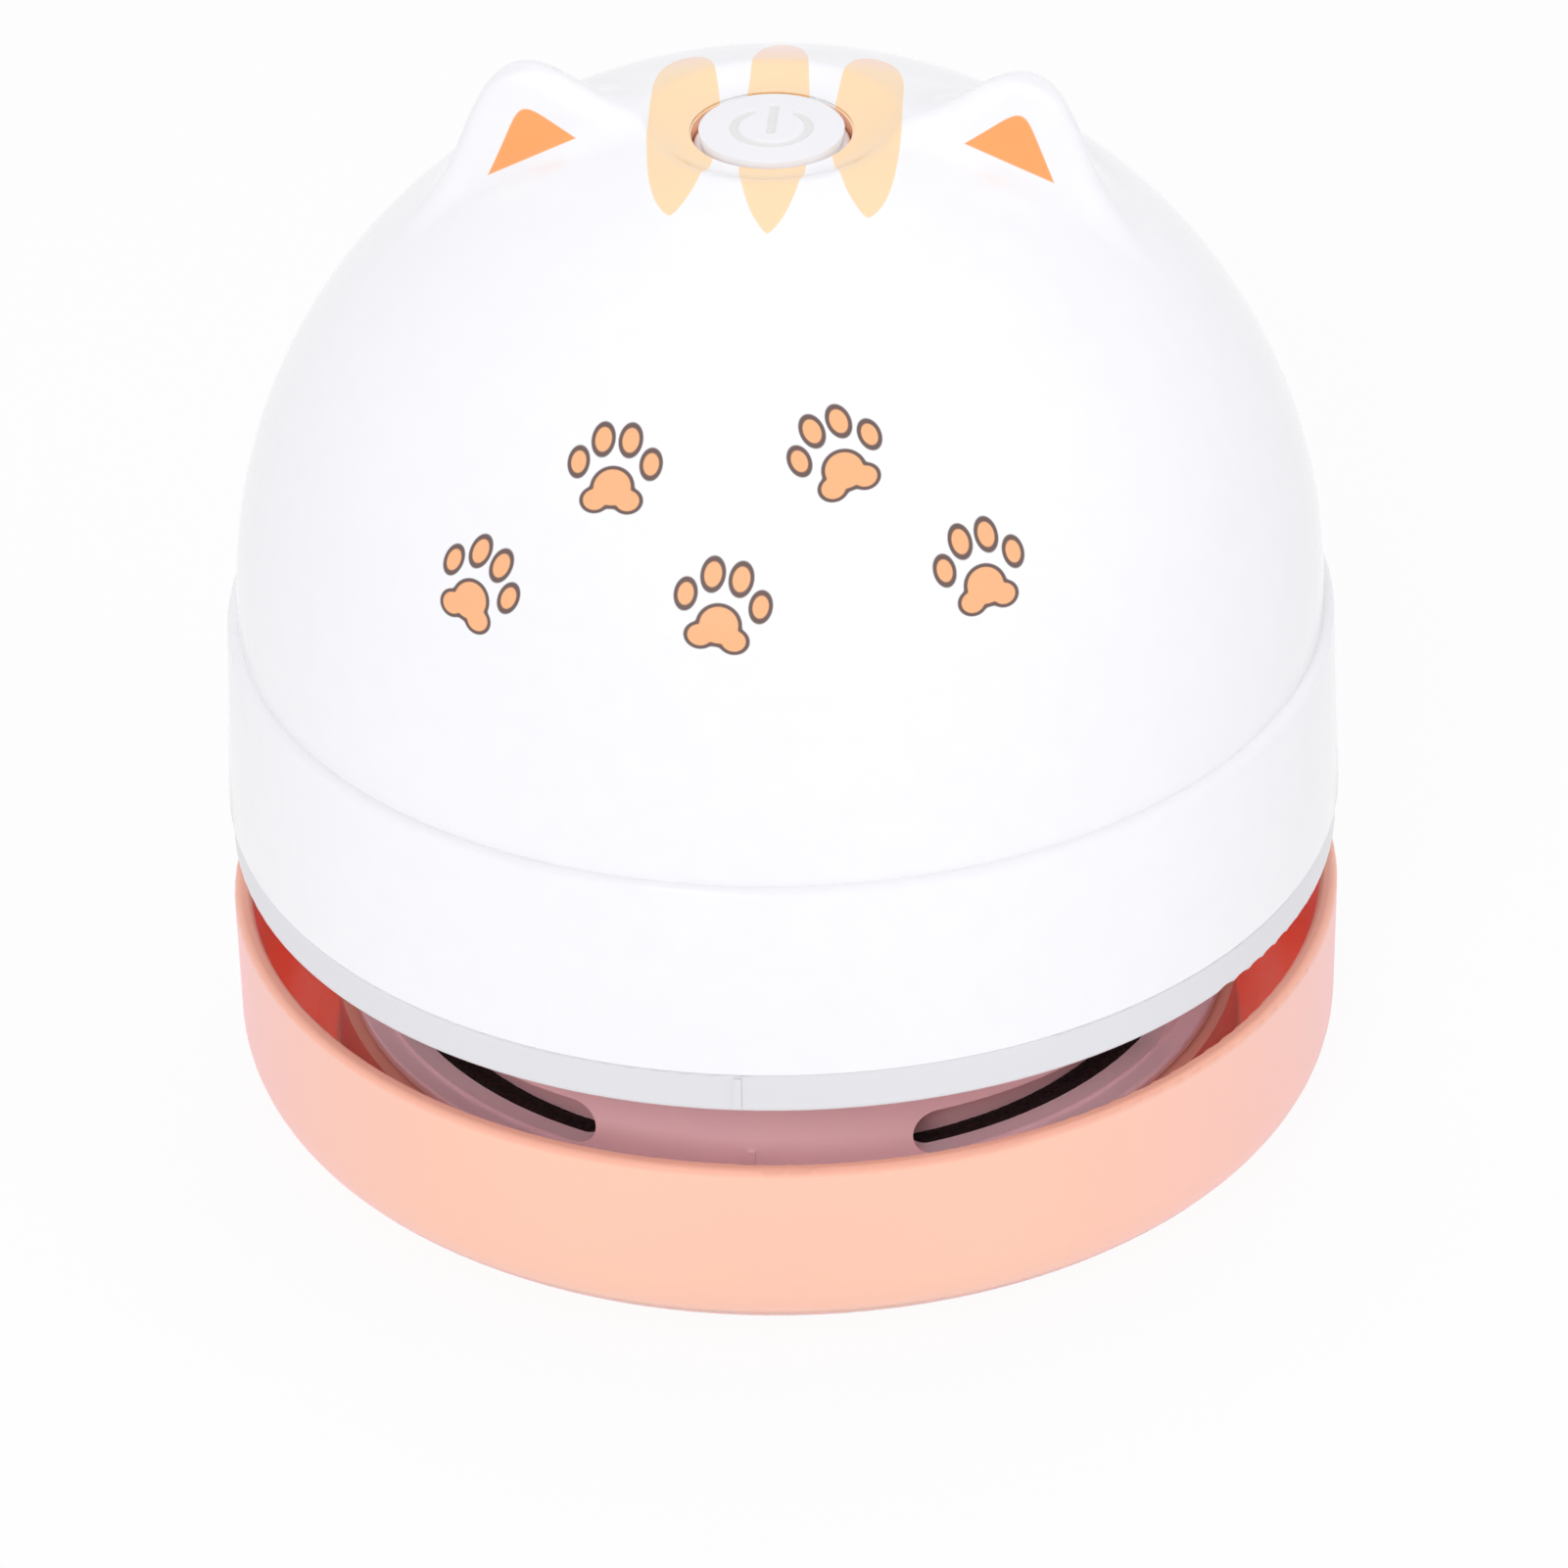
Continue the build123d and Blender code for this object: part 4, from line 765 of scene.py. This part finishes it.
ear_rise = vector_of(tree, "DOT_PRODUCT", place, (
    -ear_ink_turn, math.sin(ear_print_slope), math.cos(ear_print_slope)))
ear_flat = add_node(tree, "ShaderNodeCombineXYZ", {
    "X": math_of(tree, "ABSOLUTE", axes["X"]), "Z": ear_rise}).outputs["Vector"]
ear_sides = []
for k in range(3):
    start, end = Vector(ear_corners[k]), Vector(ear_corners[(k + 1) % 3])
    run = (end - start).normalized()
    inward = Vector((-run.y, 0.0, run.x))
    reach = inward.x * start.x + inward.z * start.y
    to_side = vector_of(tree, "DOT_PRODUCT", ear_flat, inward)
    ear_sides.append(math_of(tree, "SUBTRACT", to_side, reach))
ear_top = math_of(tree, "SMOOTH_MIN", ear_sides[1], ear_sides[2], ear_ink_round)
ear_ink_depth = math_of(
    tree, "MINIMUM", math_of(tree, "MINIMUM", ear_top, ear_sides[0]),
    math_of(tree, "SUBTRACT", ear_ink_back, axes["Y"]))
ear_mask = ramp_of(tree, ear_ink_depth, -ink_edge, ink_edge)

# A paw mark is four ovals on its middle and one side, and their mirror images.
paw = bpy.data.node_groups.new("paw_mark", "ShaderNodeTree")
paw.interface.new_socket("Place", in_out="INPUT", socket_type="NodeSocketVector")
paw.interface.new_socket("Distance", in_out="OUTPUT", socket_type="NodeSocketFloat")
paw_axes = axes_of(paw, add_node(paw, "NodeGroupInput").outputs["Place"])
paw_half = add_node(paw, "ShaderNodeCombineXYZ", {
    "X": math_of(paw, "ABSOLUTE", paw_axes["X"]), "Y": paw_axes["Y"],
    "Z": paw_axes["Z"]}).outputs["Vector"]
nearest = None
for x, y, half_width, half_height in paw_ovals:
    spot = vector_of(
        paw, "MULTIPLY_ADD", paw_half, (1 / half_width, 1 / half_height, 1 / paw_reach),
        (-x / half_width, -y / half_height, 0.0))
    off = vector_of(paw, "LENGTH", spot)
    oval = math_of(paw, "MULTIPLY_ADD", off, half_width, -half_width)
    if nearest is None:
        nearest = oval
    else:
        nearest = math_of(paw, "SMOOTH_MIN", nearest, oval, paw_blend)
add_node(paw, "NodeGroupOutput", {"Distance": nearest})

paw_distance = None
for angle, height, turn, size in paw_marks:
    reach = dome_radius * math.sqrt(1 - ((height - dome_spring) / dome_rise) ** 2)
    bearing = math.radians(angle)
    centre = Vector((reach * math.sin(bearing), -reach * math.cos(bearing), height))
    outward = Vector((centre.x / dome_radius**2, centre.y / dome_radius**2,
                      (height - dome_spring) / dome_rise**2)).normalized()
    right = Vector((math.cos(bearing), math.sin(bearing), 0.0))
    up = outward.cross(right)
    basis = Matrix((right, up, outward)).transposed() @ Matrix.Rotation(math.radians(turn), 3, "Z")
    local = add_node(tree, "ShaderNodeMapping", {
        "Vector": place, "Location": centre, "Rotation": basis.to_euler(),
        "Scale": (size, size, size)}, vector_type="TEXTURE")
    mark = add_node(tree, "ShaderNodeGroup", {"Place": local.outputs["Vector"]}, node_tree=paw)
    distance = math_of(tree, "MULTIPLY", mark.outputs["Distance"], size)
    if paw_distance is None:
        paw_distance = distance
    else:
        paw_distance = math_of(tree, "MINIMUM", paw_distance, distance)
fill_mask = ramp_of(tree, paw_distance, ink_edge, -ink_edge)
line_mask = ramp_of(tree, math_of(tree, "ABSOLUTE", paw_distance),
                    print_line_width / 2 + ink_edge, print_line_width / 2 - ink_edge)

back_share = ramp_of(tree, across["Y"], *stripe_back, shape="SMOOTHSTEP")
stripe_colour = mix_of(tree, back_share, stripe_ink, stripe_ink_back)
# painted shade in the gap between the button and its bore
bore_shade_mask = ramp_of(tree, from_axis(tree, place), *[bore_radius + edge for edge in bore_edge])
peel = noise_of(tree, place, orange_peel, 1.0)
colour = mix_of(tree, peel, shell_white, shell_cool)
for mask, ink in ((stripe_mask, stripe_colour), (ear_mask, ear_ink), (fill_mask, print_fill),
                  (line_mask, print_line), (bore_shade_mask, bore_painted_shade)):
    colour = mix_of(tree, mask, colour, ink)
close_material(tree, Base_Color=colour, Roughness=ramp_of(tree, peel, 0.0, 1.0, *shell_gloss),
               IOR=1.53, Normal=relief_of(tree, peel, 0.15, 0.02))
finish_mesh(shell.data, shell_abs)
shell.data.set_sharp_from_angle(angle=sharp_angle)

# ---- button ------------------------------------------------------------------------
# Push button moulded in a slightly greyer ABS, with a fine satin face and the usual
# power sign engraved in it. The engraving's floor is painted a little darker, as painted shade.
button_low, button_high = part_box("button")
button_radius = 6.3        # sizes in mm
button_flange = button_high.x / MM
flange_low = button_low.z / MM
flange_height = 1.2
button_face = 87.0
button_crown = 0.25
button_round = 0.4
flange_round = 0.2
button_wall = 1.2
stem_radius = 3.0
sign_radius = 3.0
sign_width = 0.7
sign_depth = 0.15
sign_slope = 0.12          # width of the engraving's sloped edge
sign_start = 0.02          # depth at which its painted shade begins
sign_margin = 1.5          # face's edge that the sign's painted shade keeps clear of
sign_gap = math.radians(38.0)     # half of the opening at the back
sign_bar = (-0.9, 3.5)
button_grain = 0.35
button_gloss = (0.28, 0.36)

rise = button_face - button_crown
flange_top = flange_low + flange_height
hollow_radius = button_radius - button_wall
button_line = rounded([
    (button_radius, rise, button_round), (button_radius, flange_top, 0),
    (button_flange, flange_top, flange_round), (button_flange, flange_low, flange_round),
    (hollow_radius, flange_low, 0), (hollow_radius, rise - button_wall, 0),
    (stem_radius, rise - button_wall, 0), (stem_radius, flange_low, 0)])
face_radii = np.linspace(0.05, button_radius - button_round - 0.05, 60)
button_bearings = np.linspace(0.0, math.tau, 240, endpoint=False)
radii = np.concatenate([face_radii, [spot.x for spot in button_line], [0.0]])[:, None]
x, y = radii * np.cos(button_bearings), radii * np.sin(button_bearings)
crown = button_face - button_crown * (face_radii / button_radius) ** 2
z = np.concatenate([crown, [spot.y for spot in button_line], [flange_low]])[:, None]
z = z + np.zeros_like(x)
from_back = np.abs(button_bearings - math.pi / 2)
from_back = np.minimum(from_back, math.tau - from_back)
to_ring = np.hypot(np.maximum(sign_gap - from_back, 0.0) * radii, radii - sign_radius)
to_bar = np.hypot(x, np.maximum(np.maximum(y - sign_bar[1], sign_bar[0] - y), 0.0))
within_sign = sign_width / 2 - np.minimum(to_ring, to_bar)
engraved = np.clip(within_sign / sign_slope + 0.5, 0.0, 1.0)
on_face = slice(0, len(face_radii))
z[on_face] -= sign_depth * engraved[on_face]

button_faces = ring_faces(*x.shape, closed=False) + [tuple(range(len(button_bearings)))]
button = add_object("engraved_button", closed_mesh(
    "engraved_button", zip(x.ravel(), y.ravel(), z.ravel()), button_faces, join=0.001))
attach(button, "power_button")
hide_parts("button")

button_abs, tree, place = start_material("pale_grey_abs_satin")
squared = vector_of(tree, "DOT_PRODUCT", vector_of(tree, "MULTIPLY", place, (1, 1, 0)), place)
flattened = math_of(tree, "MULTIPLY_ADD", squared, button_crown / button_radius**2,
                    axes_of(tree, place)["Z"])
sunk = ramp_of(tree, flattened, button_face - sign_start, button_face - sign_depth)
on_face = math_of(tree, "LESS_THAN", squared, (button_radius - sign_margin) ** 2)
# painted shade on the floor of the engraved sign
colour = mix_of(tree, math_of(tree, "MULTIPLY", sunk, on_face), "#F2F2F4", "#E6E6E4")
skin = noise_of(tree, place, button_grain, 3.0)
close_material(tree, Base_Color=colour, Roughness=ramp_of(tree, skin, 0.0, 1.0, *button_gloss),
               IOR=1.53, Normal=relief_of(tree, skin, 0.6, 0.01))
finish_mesh(button.data, button_abs)

# ---- screws ------------------------------------------------------------------------
# Zinc-plated pan-head screws for plastic. They hold the deck to shell, housing, motor
# and boards.
screw_zinc = metal("zinc_plated_screw", "#B9BBBE", "#9A9DA1", 0.32, 0.4, even)
paint(screw_zinc, "shell_screws", "housing_screws", "motor_screws", "board_screws", "switch_screws")

# ---- floor, light and camera -------------------------------------------------------
# White desk and white room. The desk keeps the object's shadow and shows white to the
# camera and in gloss.
floor_half = 3.0
desk_shadow_share = 0.08   # how much of the lit desk, with its shadow, the camera sees
desk_glow = 0.45           # the desk's own light, as a share of full white
desk_colour = "#F2F2F4"
room_colour = "#F3F3FA"
room_light = 0.47
full_white = (1, 1, 1, 1)


def seen_of(tree):
    """1 for rays of the camera, of gloss and of glass, and 0 for those of diffuse light."""
    ray = add_node(tree, "ShaderNodeLightPath").outputs
    direct = math_of(tree, "MAXIMUM", ray["Is Camera Ray"], ray["Is Glossy Ray"])
    return math_of(tree, "MAXIMUM", direct, ray["Is Transmission Ray"])


desk_mesh = bpy.data.meshes.new("desk")
desk_mesh.from_pydata([(-floor_half, -floor_half, 0), (floor_half, -floor_half, 0),
                       (floor_half, floor_half, 0), (-floor_half, floor_half, 0)],
                      [], [(0, 1, 2, 3)])
desk = add_object("desk", desk_mesh)
desk_white = bpy.data.materials.new("white_desk")
desk_white.use_nodes = True
tree = desk_white.node_tree
tree.nodes.clear()
seen = ramp_of(tree, seen_of(tree), 0.0, 1.0, desk_glow, 1 - desk_shadow_share)
matt = add_node(tree, "ShaderNodeBsdfDiffuse", {"Color": linear(desk_colour)})
glow = add_node(tree, "ShaderNodeEmission", {"Color": full_white, "Strength": 1.0})
both = add_node(tree, "ShaderNodeMixShader", {
    0: seen, 1: matt.outputs["BSDF"], 2: glow.outputs["Emission"]})
add_node(tree, "ShaderNodeOutputMaterial", {"Surface": both.outputs["Shader"]})
desk_mesh.materials.append(desk_white)

room = bpy.data.worlds.new("white_room")
bpy.context.scene.world = room
room.use_nodes = True
tree = room.node_tree
tree.nodes.clear()
light = add_node(tree, "ShaderNodeBackground", {
    "Color": linear(room_colour), "Strength": room_light})
backdrop = add_node(tree, "ShaderNodeBackground", {"Color": full_white, "Strength": 1.0})
both = add_node(tree, "ShaderNodeMixShader", {
    0: seen_of(tree), 1: light.outputs["Background"], 2: backdrop.outputs["Background"]})
add_node(tree, "ShaderNodeOutputWorld", {"Surface": both.outputs["Shader"]})

object_middle = Vector((0.0, 0.0, 45 * MM))
# name, direction towards the lamp, distance, side, power in watts, whether gloss shows it
lamps = (("front_lamp", (-0.15, -1.0, 0.58), 0.9, 0.3, 2.8, False),
         ("left_lamp", (-1.0, -0.1, 0.5), 0.9, 0.6, 0.8, False),
         ("right_lamp", (1.0, -0.2, 0.45), 0.9, 0.6, 1.9, False),
         ("top_lamp", (0.0, 0.4, 1.0), 0.8, 0.5, 1.9, False),
         ("window_lamp", (-0.3, -0.75, 1.0), 0.9, 0.12, 0.3, True))
for name, direction, distance, side, power, glossy in lamps:
    data = bpy.data.lights.new(name, "AREA")
    data.size, data.energy = side, power
    lamp = add_object(name, data)
    lamp.visible_glossy = glossy
    lamp.location = object_middle + distance * Vector(direction).normalized()
    lamp.rotation_euler = Vector(direction).to_track_quat("Z", "Y").to_euler()

picture_side = 1601        # pixels
focal_pixels = 9961.5
camera_distance = 0.8
camera_height_angle = math.radians(30.57)
camera_bearing = math.radians(5.2)
camera_roll = 0.019
aim_left = 3.9             # picture's middle to the object's middle, in pixels
aim_up = 209.0
ahead = -Vector((math.sin(camera_bearing) * math.cos(camera_height_angle),
                 -math.cos(camera_bearing) * math.cos(camera_height_angle),
                 math.sin(camera_height_angle)))
level = Vector((math.cos(camera_bearing), math.sin(camera_bearing), 0.0))
above = level.cross(ahead)
right = math.cos(camera_roll) * level - math.sin(camera_roll) * above
up = math.sin(camera_roll) * level + math.cos(camera_roll) * above
facing = (ahead + aim_left / focal_pixels * right - aim_up / focal_pixels * up).normalized()
right = (right - right.dot(facing) * facing).normalized()
up = right.cross(facing)
camera_data = bpy.data.cameras.new("camera")
camera_data.sensor_width = 36.0
camera_data.lens = camera_data.sensor_width * focal_pixels / picture_side
camera = add_object("camera", camera_data)
turn = Matrix((right, up, -facing)).transposed().to_4x4()
camera.matrix_world = Matrix.Translation(object_middle - camera_distance * ahead) @ turn
bpy.context.scene.camera = camera
bpy.context.scene.view_settings.view_transform = "Standard"
